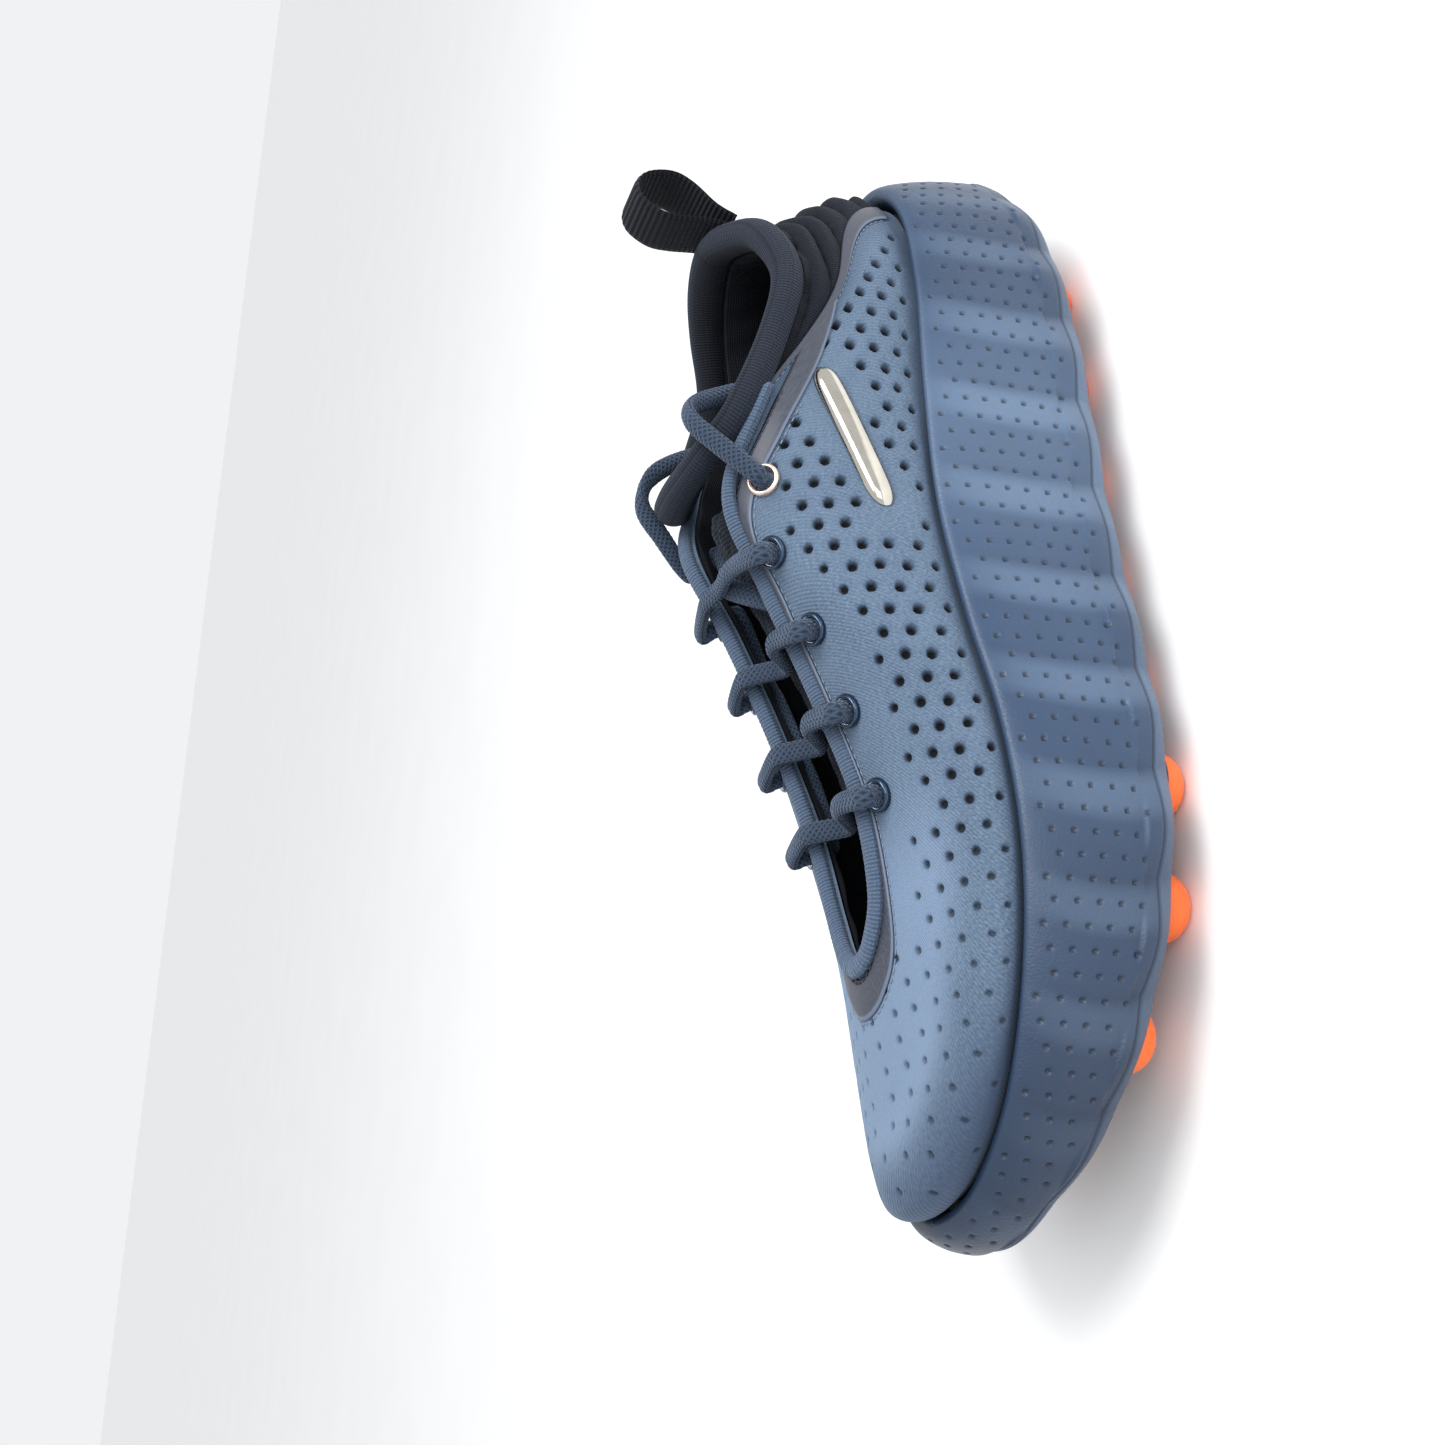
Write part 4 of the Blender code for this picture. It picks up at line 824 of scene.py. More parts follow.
def make_midsole():
    """The moulded wall with its ripples, dimples and parting line, and the underside."""
    cols, rows = 1640, 160
    a = np.linspace(0, ARC[-1], cols, endpoint=False)
    t = np.interp(a, ARC, STATIONS)
    profile, _ = densify(WALL_LINE * np.array([1, WALL_HEIGHT, 1]), rows)
    inset, share, above = profile[:, 0:1], profile[:, 1:2] / WALL_HEIGHT, profile[:, 2:3]
    low, rim = loop_at(SOLE, t)[:, 2], loop_at(SOLE, t)[:, 3]
    y = perimeter(t)[:, 1]
    strength = (.45 + .55 * smooth(side_arc(t), 30, 75)) * (.62 + .38 * smooth(y, -140, -95))
    bow = .75 * np.sin(math.pi * np.clip(share, 0, 1)) - .2
    phase = ripple_phase(t)[None] - bow
    wave = (.5 + .5 * np.cos(phase)) ** .72
    valley = np.exp(-(((phase / (2 * math.pi)) % 1 - .5) / .055) ** 2)
    s = np.clip(share, 0, 1)
    fade = .10 + .90 * np.sin(math.pi * np.clip(s * .94 + .04, 0, 1)) ** .75
    fade = fade * smooth(inset + 40 * s, 11.9, 10.5)
    crease = .45 * valley * np.sin(math.pi * s) ** 1.5
    bulge = strength[None] * fade * (RIPPLE_HEIGHT * (wave - .52) - crease)
    kick = HEEL_KICK * np.maximum(0, np.cos(math.pi * t / TOE))[None] ** 8 * (1 - s)
    plan = perimeter(t[None], inset - bulge - kick)
    z = low[None] + s * (rim - low)[None] + above
    points = np.stack([plan[..., 0], plan[..., 1], np.broadcast_to(z, plan.shape[:2])], -1)
    normals = grid_normals(points, wrap=True)
    off_crest = np.abs(profile[:, 0] - CREST_INSET)
    first, crest = int(np.argmin(off_crest[:rows // 2])), rows // 2 + int(np.argmin(off_crest[rows // 2:]))
    run = run_along(points, 0)
    up = run - run[first]
    lift, hole = np.zeros((rows, cols)), np.zeros((rows, cols))
    dimple_cols = round(ARC[-1] / DIMPLE_STEP)
    for k in range(dimple_cols):
        col = round((k + .5) / dimple_cols * cols) % cols
        top = up[crest, col] - DIMPLE_STOP
        for high in np.arange(DIMPLE_FROM + .5 * (k % 2) * DIMPLE_PITCH, top, DIMPLE_PITCH):
            row = int(np.searchsorted(up[:, col], high))
            # the dent also marks each dimple for painted shade
            dent(points, row, col, points[row, col], DIMPLE_R, 5, .10, .50, True, (lift, hole))
    parting = np.exp(-((up - PARTING) / .42) ** 2)
    bevel = smooth(up, 0, 2) * (1 - smooth(up, PARTING - .8, PARTING))
    lift += -.30 * parting + .12 * bevel
    points = points + normals * lift[..., None]
    # painted light: ripple slopes facing the heel, where the light comes from, and a painted pool of light
    # mid-side (middle); a lighter band at the rim's crest (edge) and a lighter bottom bevel
    slope = np.clip(-np.sin(phase) * 1.2, 0, 1) * np.sin(math.pi * s) ** .5
    middle = .42 * np.exp(-((y - 48) / 34) ** 2)[None]
    edge = .10 * smooth(up, up[crest] - 3, up[crest])
    pale = np.clip(middle + .62 * slope * strength[None] + .55 * bevel + edge, 0, 1)
    # painted shade: darker towards the toe and heel and in the ripples' creases, inside the rim (inner) and,
    # at a quarter, on the underside
    dark = .40 * (1 - smooth(y, -78, -38)) + .34 * (1 - smooth(y, -130, -90)) + .26 * smooth(y, 68, 100)
    dark = dark[None] + .12 * valley * np.sin(math.pi * s)
    inner = np.broadcast_to(smooth(np.arange(rows), crest + 9, crest + 20)[:, None], up.shape)
    cloth = np.stack([np.broadcast_to(a, up.shape), up, np.zeros_like(up)], -1)
    wall_faces = grid_faces(rows, cols, wrap_cols=True)
    extra, floor_faces = bottom_mesh(points[0, ::4], rows * cols, np.arange(0, cols, 4))
    everything = np.concatenate([points.reshape(-1, 3), extra])

    def joined(values, rest=0.0):
        return np.concatenate([np.broadcast_to(values, up.shape).ravel(), np.full(len(extra), rest)])

    flat = np.concatenate([cloth.reshape(-1, 3), extra * (1, 1, 0)])
    add_piece("midsole_foam", everything, wall_faces.tolist() + floor_faces, FOAM, ["midsole"], "midsole",
              closed=False, cloth=flat, pale=joined(pale), line=joined(np.clip(parting * .75, 0, 1)),
              hole=joined(hole), shade=joined(np.clip(dark + .9 * inner, 0, 1), .25))


def pods_layout():
    """(name, x, y, height of the tip, height of the flange's underside) for each pod."""
    found = []
    for row, (y0, xs) in enumerate(POD_ROWS, 1):
        for n, x in enumerate(xs, 1):
            y = y0 + POD_SLANT * x
            tip = 0.0 if POD_GROUND[0] < y < POD_GROUND[1] else float(bottom_at(y)) - POD_STAND
            lowest = min(floor_at(y - POD_BORE_R), floor_at(y + POD_BORE_R), floor_at(y))
            found.append((f"pod_r{row}_{n}", x, y, tip, lowest - POD_FLANGE - POD_TRAVEL - GAP))
    return found


def bottom_mesh(ring, base, ring_ids):
    """(points, faces) of the sole's underside with lipped pod holes, joined to the wall's lowest ring.

    The ring's points are already vertices: ring_ids are their numbers, and new vertices start at base.
    """
    pods = pods_layout()
    half = int(np.argmin(ring[:, 1]))
    sides = [ring[:half + 1], np.concatenate([ring[half:], ring[:1]])[::-1]]

    def height(x, y):
        (xl, zl), (xm, zm) = (
            (np.interp(-y, -s[:, 1], s[:, 0]), np.interp(-y, -s[:, 1], s[:, 2])) for s in sides)
        share = np.clip((x - xm) / np.maximum(xl - xm, .01), 0, 1)
        return zm + (zl - zm) * share

    circles = [(POD_HOLE_R, -.5), (10.1, -1.15), (11.2, -1.0), (12.2, -.25), (13.2, 0.0)]
    turn = np.arange(40) * 2 * math.pi / 40
    flat, drops = [tuple(p[:2]) for p in ring], [None] * len(ring)
    edges = [(k, (k + 1) % len(ring)) for k in range(len(ring))]
    centres = np.array([(x, y) for _, x, y, _, _ in pods])
    hole_rings = []
    for x, y in centres:
        for number, (r, drop) in enumerate(circles):
            start = len(flat)
            for q in turn:
                flat.append((x + r * math.cos(q), y + r * math.sin(q)))
                drops.append(drop)
            if number == 0:
                hole_rings.append(list(range(start, start + len(turn))))
                edges += [(start + k, start + (k + 1) % len(turn)) for k in range(len(turn))]
    lateral, medial = sides
    for gy in np.arange(-136, 138, 2.6):
        for gx in np.arange(-50, 52, 2.6):
            inside = (np.interp(-gy, -medial[:, 1], medial[:, 0]) + 1.6 < gx
                      < np.interp(-gy, -lateral[:, 1], lateral[:, 0]) - 1.6)
            if inside and np.min(np.hypot(centres[:, 0] - gx, centres[:, 1] - gy)) > 14.2:
                flat.append((gx, gy))
                drops.append(0.0)
    made, _, tris, sources, _, _ = delaunay_2d_cdt([Vector(p) for p in flat], edges, [], 1, 1e-4)
    made = np.array([tuple(p) for p in made])
    drop_of = np.zeros(len(made))
    number = np.zeros(len(made), int)
    new_points, hole_lookup = [], {}
    for k, origin in enumerate(sources):
        source = origin[0] if origin else None
        if source is not None and source < len(ring):
            number[k] = ring_ids[source]
            continue
        if source is not None:
            drop_of[k] = drops[source]
            hole_lookup[source] = base + len(new_points)
        number[k] = base + len(new_points)
        new_points.append((*made[k], float(height(*made[k])) + drop_of[k]))
    middles = np.array([made[list(f)].mean(0) for f in tris])
    nearest = np.min(np.linalg.norm(middles[:, None] - centres, axis=-1), axis=1)
    faces = []
    for f, d in zip(tris, nearest):
        if d > POD_HOLE_R * .985:
            a, b, c = (made[k] for k in f)
            turn_up = (b[0] - a[0]) * (c[1] - a[1]) - (b[1] - a[1]) * (c[0] - a[0]) > 0
            f = f[::-1] if turn_up else f
            faces.append([int(number[k]) for k in f])
    for ids, (_, _, _, _, seat) in zip(hole_rings, pods):
        rims = [hole_lookup.get(k) for k in ids]
        if None in rims:
            continue
        top = base + len(new_points)
        new_points += [(*flat[k], seat - .3) for k in ids]
        for q in range(len(ids)):
            w = (q + 1) % len(ids)
            faces.append([rims[q], top + q, top + w, rims[w]])
    return np.array(new_points), faces


def make_pods():
    """Elastic pods with flat tips and retaining flanges, each on its own body."""
    for name, x, y, tip, seat in pods_layout():
        turn = np.radians(np.linspace(0, 90, 22))
        dome = [(POD_FACE_R + (POD_R - POD_FACE_R) * math.sin(q), tip + POD_DOME * (1 - math.cos(q)))
                for q in turn]
        flat = [(r, tip) for r in (.01, .8, 1.6, 2.5)]
        wall = [(POD_R, z) for z in np.linspace(tip + 8, seat - .2, 5)]
        head = seat + POD_FLANGE
        flange = [(POD_R + .1, seat), (POD_FLANGE_R, seat), (POD_FLANGE_R, head), (.01, head)]
        profile = flat + dome + wall + flange
        grid, _ = spun(profile, 56, (x, y, 0))
        # painted shade towards the root, where the pod goes into the sole
        deep = np.broadcast_to([[smooth(h - tip, 5.5, 13) * .6] for _, h in profile], grid.shape[:2])
        add_tube(name + "_foam", grid, POD, [name], "pod", body=name, shade=deep)


RUBBER_EDGE = 15   # from the outline to the toe rubber's sides
RUBBER_FROM, RUBBER_LONG, RUBBER_RIB = -119, 21, 3.4


def make_toe_rubber():
    """A ribbed plate under the toe."""
    rows, cols = 60, 80
    low = []
    for i in range(rows):
        y = RUBBER_FROM - RUBBER_LONG * i / (rows - 1)
        x = np.linspace(perimeter(station_on_outline(y, False))[0] + RUBBER_EDGE,
                        perimeter(station_on_outline(y, True))[0] - RUBBER_EDGE, cols)
        ribs = .5 * smooth(np.sin(2 * math.pi * (y + .05 * x) / RUBBER_RIB), -.2, .5)
        low.append(np.stack([x, np.full(cols, y), bottom_at(y) - 1.8 - ribs], 1))
    low = np.array(low)
    high = low.copy()
    high[..., 2] = bottom_at(low[..., 1]) - .35
    add_slab("toe_plate", low, high, RUBBER, ["toe_rubber"], "rubber")


# ---------------------------------------------------------------- upper

BADGE_ENDS, BADGE_HALF = np.array([(64, 86.0), (22, 72.0)]), 3.6   # y and z of its ends, half height
HOLE_STEP, HOLE_PITCH = 6.1, 7.3   # perforations along the shoe and up it
HOLE_NEAREST = 5.1


def make_upper():
    """The perforated knit, puffed out over the rim."""
    rows, cols = 176, 1300
    v = np.concatenate([[0], np.linspace(0, .992, rows - 2), [.992]])[:, None]
    start = slant(v) + .02
    share = np.concatenate([[0], np.linspace(0, 1, cols - 2), [1]])[None]
    t = start + (SIDE - 2 * start) * share
    tucked = np.zeros((rows, cols))
    tucked[[0, -1], :] = tucked[:, [0, -1]] = -2.0
    base = skin(t, v)
    normals = normal_at(t, v)
    up = run_along(base, 0)
    round_mm = run_along(base[rows // 3], 0)
    lift, hole = np.zeros((rows, cols)), np.zeros((rows, cols))
    pucker = np.zeros((rows, cols))
    centres = []
    half = cols // 2
    for lateral in (True, False):
        part = base[:, :half] if lateral else base[:, ::-1][:, :half]
        for k, y0 in enumerate(np.arange(127, -146, -HOLE_STEP)):
            spots = []
            for i in range(1, rows - 1, 2):
                ys = part[i, :, 1]
                if ys[1] > y0 > ys[-1]:
                    spots.append((i, int(np.searchsorted(-ys, -y0))))
            if len(spots) < 3:
                continue
            path = np.array([part[i, j] for i, j in spots])
            s = run_along(path, 0)
            start_mm = 5.2 + HOLE_PITCH / 2 * ((spots[0][0] != 1) + k % 2)
            for here in np.arange(start_mm, s[-1] - .2, HOLE_PITCH):
                i, j = spots[int(np.searchsorted(s, here))]
                col = j if lateral else cols - 1 - j
                p = base[i, col]
                size = hole_size(p, t[i, col] if lateral else SIDE - t[i, col], float(v[i, 0]),
                                 up[i, col], up[-1, col] - up[i, col])
                near = min((np.linalg.norm(q - p) for q in centres), default=HOLE_PITCH)
                if size <= 0 or near < HOLE_NEAREST:
                    continue
                centres.append(p)
                radius = 1.38 * size ** .6
                dent(base, i, col, p, radius, 9, .50 * size, 1.9 * size, False, (lift, hole))
                window = slice(max(i - 9, 0), i + 10), slice(max(col - 9, 0), col + 10)
                d = np.linalg.norm(base[window] - p, axis=-1)
                # painted shade in the dimple round the perforation
                soft = .42 * size * (1 - smooth(d, radius * .9, radius * 2.3))
                pucker[window] = np.maximum(pucker[window], soft)
    y = base[..., 1]
    ahead = 1 - smooth(y, -140, -62)
    puff = 1.3 * smooth(up, .6, 4.0) * (1 - smooth(up, 6, 15)) * (1 - smooth(y, 30, 66))
    outer_side = .28 + .72 * smooth(base[..., 0], -34, 8)
    puff += 6.4 * ahead * outer_side * smooth(up, 1.2, 10.0) * (1 - smooth(up, 11, 32))
    points = base + normals * (lift + tucked + puff)[..., None]
    # painted shade: darker towards the toe and heel, along the rim where the knit tucks in, and beside the
    # slanting seam
    toe = (1 - smooth(up, 3, 22)) * (1 - smooth(y, -126, -84))
    heel = (1 - smooth(up, 2, 12)) * smooth(y, 88, 118) * .5
    rim = (1 - smooth(up, 2.2, 6.5)) * .55
    from_seam = np.minimum(t - start, SIDE - start - t)
    seam = .35 * (1 - smooth(from_seam, .5, .9)) * (y > 0)
    cloth = np.stack([np.broadcast_to(round_mm, up.shape), up, np.zeros_like(up)], -1)
    add_piece("upper_knit", points, grid_faces(rows, cols), PERFORATED, ["upper_shell"], "upper",
              closed=False, cloth=cloth, pucker=pucker,
              # painted light: lighter on the forefoot, above the rim
              lit=.50 * (1 - smooth(y, -75, -40)) * smooth(up, 12, 26),
              # near-black painted shade inside the perforations, fainter towards the toe
              hole=np.clip(hole, 0, 1) * (.50 + .50 * smooth(y, -108, -40)),
              shade=np.clip(.85 * toe + heel + rim + seam, 0, .9))


def hole_size(p, t, v, low, high):
    """Size of a perforation from 0 (none) to 1. low and high: its distance to the rim and to the edge."""
    y = p[1]
    if t - float(slant(v)) < .06 + .5 * (1 - .45 * v) + .20 and y > 40:
        return 0
    margin = 17 if y > 8 else 21 if y > -58 else 15 if y > -84 else -1
    if y > 46:
        margin = 12
    if high < margin or low < 4.5:
        return 0
    a, b = BADGE_ENDS
    along = np.clip(((p[1:] - a) @ (b - a)) / ((b - a) @ (b - a)), 0, 1)
    if np.linalg.norm(p[1:] - a - along * (b - a)) < 7.0:
        return 0
    size = .42 + .58 * float(smooth(y, -105, -25))
    size *= .72 + .28 * float(smooth(low, 5, 14))
    size *= .74 + .26 * float(smooth(high, margin, margin + 9))
    return size


BAND_ACROSS = 26


def band(name, stations, e_low, e_high, lift, crown, mat, slot, stands_for, across=BAND_ACROSS, **looks):
    """A crowned tape following the throat or seam. e_low and e_high: millimetres from the edge."""
    share = np.linspace(0, 1, across)[:, None]
    e = e_low + (e_high - e_low) * share
    t = np.broadcast_to(stations, e.shape)
    v = from_edge(t, e)
    swell = crown * (1 - (2 * share - 1) ** 4)
    top = skin(t, v, lift + swell)
    run = run_along(top[across // 2], 0)
    values = {key: slab_values(np.broadcast_to(f(share), e.shape)) for key, f in looks.items()}
    return add_slab(name, top, skin(t, v, np.full(e.shape, .12)), mat, stands_for, slot,
                    cloth=slab_cloth(run, e), **values)


THROAT_START = 4.64
THROAT = np.linspace(THROAT_START, SIDE - THROAT_START, 640)


def throat_width(t):
    """(inner, outer) distance of the throat's tape from the edge: wider round the end of the throat."""
    end = 1 - smooth(np.abs(t - 12), 1.3, 2.8)
    return 3.7 + .6 * end, 9.8 + 4.4 * end


def band_stations():
    """Stations of the throat's tape, which runs on to the slanting seam on both sides."""
    inner, outer = throat_width(np.full(BAND_ACROSS, 4.5))
    e = inner + (outer - inner) * np.linspace(0, 1, BAND_ACROSS)
    start = np.full(BAND_ACROSS, 4.3)
    for _ in range(12):
        start = .5 * start + .5 * (slant(from_edge(start, e)) + .14)
    return start[:, None] + (SIDE - 2 * start)[:, None] * np.linspace(0, 1, 680)[None]


def make_throat():
    """The tape round the throat and the knitted binding of its edge."""
    stations = band_stations()
    inner, outer = throat_width(stations)
    band("throat_band", stations, inner, outer, .50, .45, TAPE, "tape", ["throat_tape"],
         pale=lambda s: smooth(s, .86, .93) * .8, line=lambda s: 1 - smooth(s, .05, .17))
    path, length = densify(skin(THROAT, 1.0, .5)[::6], 900)
    ahead = unit(np.gradient(path, axis=0))
    out = unit(loop_outwards(path))
    out = unit(out - ahead * (out * ahead).sum(1, keepdims=True))
    top = np.cross(ahead, out)
    a = np.arange(22) * 2 * math.pi / 22
    s = np.linspace(0, length, len(path))
    ends = np.minimum(1, (np.minimum(s, length - s) + .02) / 3)[:, None] ** .5
    ribs = 1 + .03 * np.sin(2 * math.pi * s / 1.3)[:, None]
    grid = (path[:, None] + ((np.cos(a) * 2.8 + 1.2) * ends * ribs)[..., None] * out[:, None]
            + (np.sin(a) * 1.7 * ends * ribs)[..., None] * top[:, None])
    cloth = np.stack(np.broadcast_arrays(s[:, None], a[None] * 2.0, 0.0), -1)
    add_tube("edge_binding", grid, BINDING, slot="upper", cloth=cloth, shade=np.zeros(grid.shape[:2]))


def loop_outwards(path):
    """Plan directions from the throat's middle line to each point of its edge."""
    x = path[:, 0] + 1.0
    y = 1.25 * np.minimum(path[:, 1] + 68, 0)
    return np.stack([x, y, 0 * x], 1)


def make_seams():
    """The slanting tape from the heel's rim up to the collar, on both sides."""
    count, across = 260, 26
    v = np.linspace(.10, .985, count)
    for name, lateral in (("lateral", True), ("medial", False)):
        share = np.linspace(0, 1, across)[:, None]
        t = slant(v)[None] + .02 + seam_width(v)[None] * share
        t = t if lateral else SIDE - t
        swell = .45 * (1 - (2 * share - 1) ** 4)
        top = skin(t, v[None], .55 + swell)
        add_slab(f"seam_tape_{name}", top, skin(t, v[None], np.full(t.shape, .12)), TAPE,
                 [f"quarter_tape_{name}"], "tape",
                 cloth=slab_cloth(run_along(top[across // 2], 0), share * 7),
                 pale=slab_values(np.broadcast_to(smooth(share, .86, .94) * .8, t.shape)),
                 line=slab_values(np.broadcast_to(1 - smooth(share, .03, .14), t.shape)))


def stitches(name, places, ways, normals, length, radius, mat):
    """A row of small raised stitches, one body each, in one piece."""
    a = np.arange(6) * math.pi / 3
    along = np.array([-.5, -.36, 0, .36, .5]) * length
    fat = np.array([.15, .8, 1, .8, .15]) * radius
    points, faces = [], []
    block = grid_faces(5, 6, wrap_cols=True)
    side = np.cross(ways, normals)
    for k in range(len(places)):
        ring = (places[k] + along[:, None, None] * ways[k]
                + (fat[:, None] * np.cos(a))[..., None] * side[k]
                + (fat[:, None] * np.sin(a))[..., None] * normals[k])
        points.append(ring.reshape(-1, 3))
        faces += (block + 30 * k).tolist()
        faces += [[30 * k + q for q in range(6)], [30 * k + 24 + q for q in range(5, -1, -1)]]
    points = np.concatenate(points)
    if volume(points, np.array([f for f in faces if len(f) == 4])) < 0:
        faces = [f[::-1] for f in faces]
    add_piece(name, points, faces, mat, slot="tape", closed=False)


STITCH_PITCH, STITCH = 2.3, 1.5


def stitch_row(name, t, v, lift, radius, mat):
    """Stitches along a line of (station, v) on the upper."""
    path, total = densify(skin(t, v, lift)[::4], 2000)
    count = int(total / STITCH_PITCH)
    at = (np.arange(count) + .5) / count * (len(path) - 1)
    i = at.astype(int)
    ways = unit(path[np.minimum(i + 3, len(path) - 1)] - path[np.maximum(i - 3, 0)])
    ts, vs = (np.interp(at / (len(path) - 1), np.linspace(0, 1, len(t)), q) for q in (t, v))
    normals = normal_at(ts, vs)
    normals = unit(normals - ways * (normals * ways).sum(1, keepdims=True))
    stitches(name, path[i], ways, normals, STITCH, radius, mat)


def make_stitching():
    inner, outer = throat_width(THROAT)
    stitch_row("throat_stitch_inner", THROAT, from_edge(THROAT, inner + .9), .95, .24, THREAD_DARK)
    stitch_row("throat_stitch_outer", THROAT, from_edge(THROAT, outer + .9), .15, .20, THREAD)
    v = np.linspace(.12, .97, 300)
    for name, lateral in (("lateral", True), ("medial", False)):
        t = slant(v) + .02 + seam_width(v) + .03
        stitch_row(f"seam_stitch_{name}", t if lateral else SIDE - t, v, .12, .20, THREAD)


LINING_ROUND = 640   # millimetres of lining all round


def make_lining():
    """Inner cloth of the whole upper, from the footbed to the edge."""
    rows, cols = 70, 420
    v = np.linspace(.02, .985, rows)[:, None]
    t = np.linspace(0, SIDE, cols, endpoint=False)[None] + 0 * v
    folds = .25 * np.sin(t * 9 + v * 7)
    grid = np.concatenate([skin(t, v, np.full(t.shape, -2.75)), skin(t, v, -3.6 + folds)[::-1]], 0)
    run = np.arange(1, cols + 1) * LINING_ROUND / cols
    cloth = np.stack(np.broadcast_arrays(run[None], np.concatenate([v, v[::-1]]) * 75, 0.0), -1)
    add_tube("inner_lining", grid, LINING, ["lining"], "lining", wrap_rows=True, cloth=cloth,
             shade=np.zeros(grid.shape[:2]))


# ---------------------------------------------------------------- heel, collar, tongue

ROLLS = 5


def make_bellows():
    """Five stuffed rolls on the heel, pinched at the slanting seam."""
    rows, cols = 210, 210
    v = np.linspace(.03, 1.0, rows)[:, None]
    edge_t = slant(v) + .05
    share = np.linspace(0, 1, cols)[None]
    t = -edge_t + 2 * edge_t * share
    away = 1 - np.abs(2 * share - 1)
    place = np.clip(v * 1.06, 0, 1) * ROLLS + .16 * np.sin(3.5 * t + 1.0) * smooth(away, 0, .5)
    wave = np.abs(np.sin(math.pi * place)) ** .55
    pinch = np.minimum(away * 2.4, 1) ** .55
    crease = .35 * np.sin(22 * t + 4 * v) * (1 - smooth(wave, .1, .8)) * pinch
    puff = (3.9 * wave * pinch + crease) * smooth(v, .06, .16)
    top = skin(t, v, puff - .1)
    # painted shade in the creases between the rolls, and full on the inner face
    piece = add_slab("heel_rolls", top, skin(t, v, np.full(t.shape, -2.0)), BELLOWS, ["heel_bellows"],
                     "heel_knit", cloth=slab_cloth(t * 24, run_along(top, 0)),
                     shade=slab_values(np.clip(1 - wave, 0, 1) * .8, 1.0))


def collar_path():
    """Closed route of the collar roll: round the ankle and over the top of the tongue."""
    above = np.array([0, 0, COLLAR_R + .5])
    front = [(14, 43, 112), (0, 41, 114), (-14, 43, 112)]
    back = SIDE - np.arange(5, 0, -1)
    return np.concatenate([skin(np.arange(6), 1.0) + above, front, skin(back, 1.0) + above])


def make_collar():
    """The padded roll round the ankle, with one sewn seam."""
    ring = collar_path()
    path = loop_at(ring, np.linspace(0, len(ring), 1000, endpoint=False))
    ahead = unit(np.roll(path, -1, 0) - np.roll(path, 1, 0))
    side = unit(np.cross(ahead, np.array([0, 0, 1.0])))
    centre = np.array([0, 85.0, 0])
    side = side * np.sign(((path - centre) * side).sum(1))[:, None]
    other = np.cross(side, ahead)
    other = other * np.sign(other[:, 2:3])
    run = run_along(path, 0)
    sides = 36
    a = np.arange(sides) * 2 * math.pi / sides
    heel = smooth(path[:, 1], 88, 126)[:, None]
    puff = 1 + .05 * np.sin(run / 17)[:, None] + .03 * np.sin(run / 7.3 + 2)[:, None]
    wide = (3.7 + .9 * heel) * puff
    tall = (4.3 + .9 * heel) * puff
    grid = (path[:, None] + (np.cos(a) * wide)[..., None] * side[:, None]
            + (np.sin(a) * tall)[..., None] * other[:, None])
    cloth = np.stack(np.broadcast_arrays(run[:, None], a[None] * 4.0, 0.0), -1)
    seam_turn = 1.05
    seam = np.exp(-((a - seam_turn) / .10) ** 2)
    grid -= .35 * seam[None, :, None] * (side * math.cos(seam_turn) + other)[:, None]
    # painted shade on the roll's side towards the ankle opening and in the seam's groove
    shade = np.clip(.75 * smooth(-np.cos(a), .1, .8) + .6 * seam, 0, 1)
    piece = add_tube("collar_padding", grid, COLLAR, ["collar_roll"], "collar_knit", wrap_rows=True,
                     cloth=cloth, shade=np.broadcast_to(shade, grid.shape[:2]))


def tongue_point(y, x, lift):
    """The tongue lies deep in the throat and comes up to the collar."""
    sink = np.interp(y, (-12, 0, 13, 34), (7.5, 4.5, 2.4, 1.0))
    curl = np.interp(y, (-12, 5), (.028, .050))
    return np.stack([x, y, crown_at(y) - sink - curl * x * x + lift], -1)


QUILT = 7.5   # pitch of the tongue's crossing seams


def make_tongue():
    """A quilted tongue."""
    rows, cols = 260, 70
    y = np.linspace(-92, 34, rows)[:, None]
    half = 8 + 7 * np.minimum(1, (y + 92) / 40)
    x = half * np.linspace(-1, 1, cols)[None]
    y = y + 0 * x
    sink = -4.0 * (1 - smooth(y, -82, -74))
    one, two = (np.abs(np.sin((y + slope * x) * math.pi / QUILT)) for slope in (1.2, -1.2))
    quilt = np.minimum(one, two) ** .45
    # painted shade in the quilting's creases, and half on the underside
    piece = add_slab("tongue_quilt", tongue_point(y, x, sink - .8 + .8 * quilt),
                     tongue_point(y, x, sink - 3.0), TONGUE, ["tongue"], "tongue", cloth=slab_cloth(x, y),
                     shade=slab_values(.6 * (1 - quilt), .5))


PULL_ROOT, PULL_LEAN = (128.9, 99.6), 12   # y and z of its stitched root, and degrees
PULL_HALF = 8.0
WEB_PITCH = 1.5
PULL_LINE = [(1.0, -.6), (2.4, 6), (6.6, 14), (7.6, 20), (4.5, 26), (0, 28),
             (-4.0, 26), (-6.2, 20), (-5.0, 14), (-2.0, 6), (-1.0, -.6)]


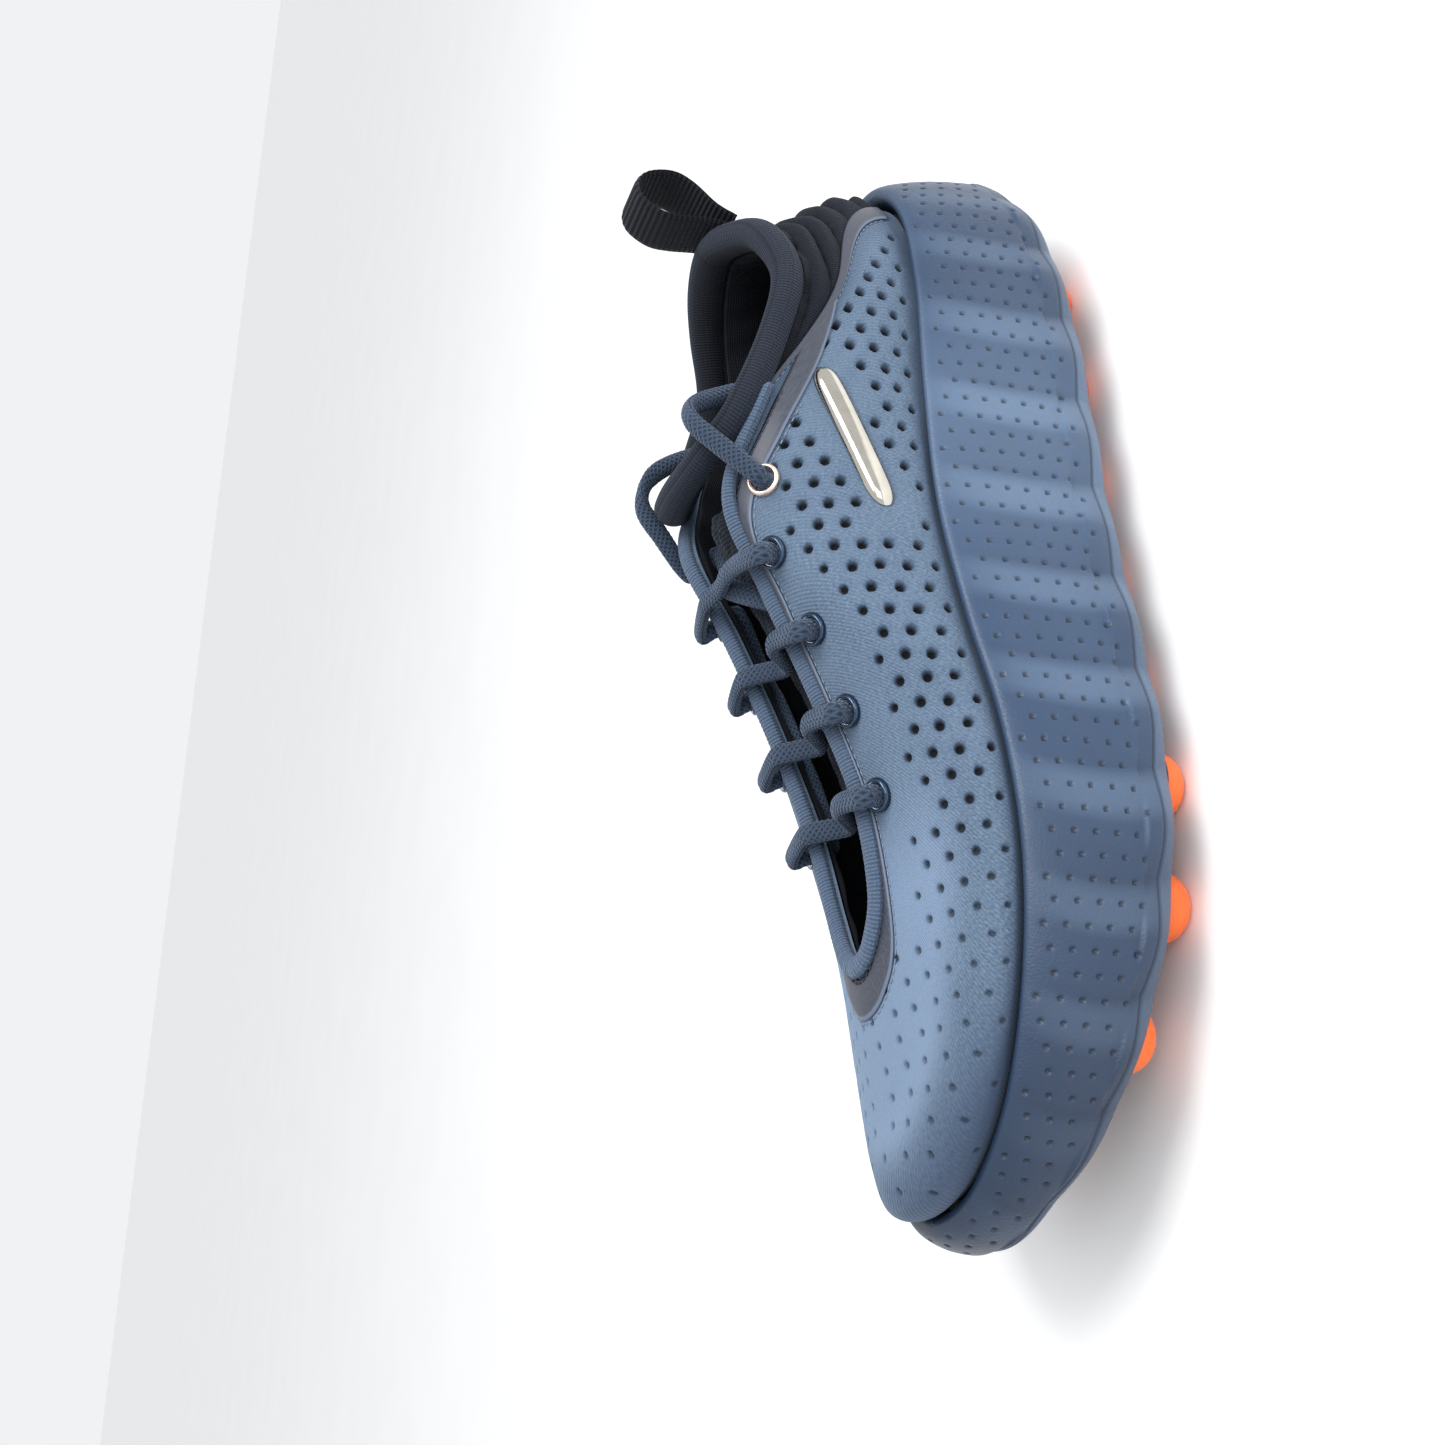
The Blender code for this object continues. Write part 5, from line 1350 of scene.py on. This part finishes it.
def make_pull_loop():
    """A ribbed webbing loop on the heel."""
    pts, length = densify(PULL_LINE, 260)
    d = unit(np.gradient(pts, axis=0))
    n = np.stack([-d[:, 1], d[:, 0]], 1)
    x = np.linspace(-PULL_HALF, PULL_HALF, 40)[:, None]
    s = np.linspace(0, length, len(pts))
    edge = 1 - np.abs(x / PULL_HALF) ** 10
    ribs = .16 * np.sin(2 * math.pi * s / WEB_PITCH)[None] * edge
    turn = math.radians(-PULL_LEAN)

    def placed(offset):
        p = pts[None] + n[None] * offset[..., None]
        y, z = p[..., 0], p[..., 1]
        return np.stack([np.broadcast_to(x, y.shape), PULL_ROOT[0] + y * math.cos(turn) - z * math.sin(turn),
                         PULL_ROOT[1] + y * math.sin(turn) + z * math.cos(turn)], -1)

    thick = .78 * edge + ribs
    cloth = slab_cloth(x, s[None])
    add_slab("pull_loop", placed(thick - .8), placed(-.8 - thick), WEBBING, ["pull_tab"], "webbing",
             body="heel_loop", cloth=cloth, shade=np.zeros(len(cloth)))


# ---------------------------------------------------------------- hardware

def make_eyelets():
    """Rolled rings, the top pair rose-coloured."""
    for side, spots in (("lateral", LATERAL), ("medial", MEDIAL)):
        for k, (p, n) in enumerate(spots):
            rim = 4.5 if k == 0 else 4.3
            middle, half = 3.55 + (rim - 3.9) * .3, (rim - 3.0) * .5
            turns = np.linspace(math.pi * .98, 0, 22)
            roll = [(middle + half * math.cos(w), .62 + math.sin(w)) for w in turns]
            profile = [(2.75, -2.2), (2.8, -.4)] + roll + [(rim, .2), (rim - .1, .02)]
            grid, radii = spun(profile, 48, p, n)
            pale = 1 - smooth(radii, 3.25, 3.5) if k else np.ones(radii.shape)
            mat, slot = (EYELET, "gunmetal") if k else (EYELET_TOP, "rose_metal")
            add_tube(f"eyelet_ring_{side}_{k + 1}", grid, mat, [f"eyelet_{side}_{k + 1}"], slot, pale=pale)


def locate(y, z, lateral):
    """(station, v) of points of the upper's side with this y and z."""
    v = np.full(y.shape, .5)
    t = station_for(y, v, lateral)
    for _ in range(26):
        v = np.clip(v + (z - rib(t, v)[..., 2]) * .008, 0, .98)
        t = station_for(y, v, lateral)
    return t, v


def make_badges():
    """A plain polished bar on each side, softly bevelled."""
    rows, cols = 34, 130
    across = np.sin(np.linspace(-math.pi / 2, math.pi / 2, rows))[:, None]
    s = (1 - np.cos(np.linspace(0, math.pi, cols))) / 2
    a, b = BADGE_ENDS
    half = BADGE_HALF * np.sqrt(np.maximum(0, 1 - np.abs(2 * s - 1) ** 8))[None] + .02
    y = a[0] + (b[0] - a[0]) * s[None] + across * half * .26
    z = a[1] + (b[1] - a[1]) * s[None] - across * half * .96
    bevel = (1 - np.abs(across) ** 3.2) * (1 - np.abs(2 * s - 1)[None] ** 9)
    for side, lateral in (("lateral", True), ("medial", False)):
        t, v = locate(y, z, lateral)
        add_slab(f"badge_bar_{side}", skin(t, v, .35 + 2.0 * bevel), skin(t, v, np.full(t.shape, .1)),
                 NICKEL, [f"badge_{side}"], "gunmetal")


def paint_hidden_nodes():
    """CAD nodes that keep their own shape, deep inside the shoe."""
    for name, mat in (("insole", INSOLE), ("strobel_board", BOARD), ("pod_cover_sheet", INSOLE),
                      ("toe_stiffener", PLASTIC), ("heel_counter", PLASTIC)):
        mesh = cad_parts[name].data
        mesh.materials.clear()
        mesh.materials.append(mat)


make_laces()
make_midsole()
make_pods()
make_toe_rubber()
make_upper()
make_throat()
make_seams()
make_stitching()
make_lining()
make_bellows()
make_collar()
make_tongue()
make_pull_loop()
make_eyelets()
make_badges()
paint_hidden_nodes()
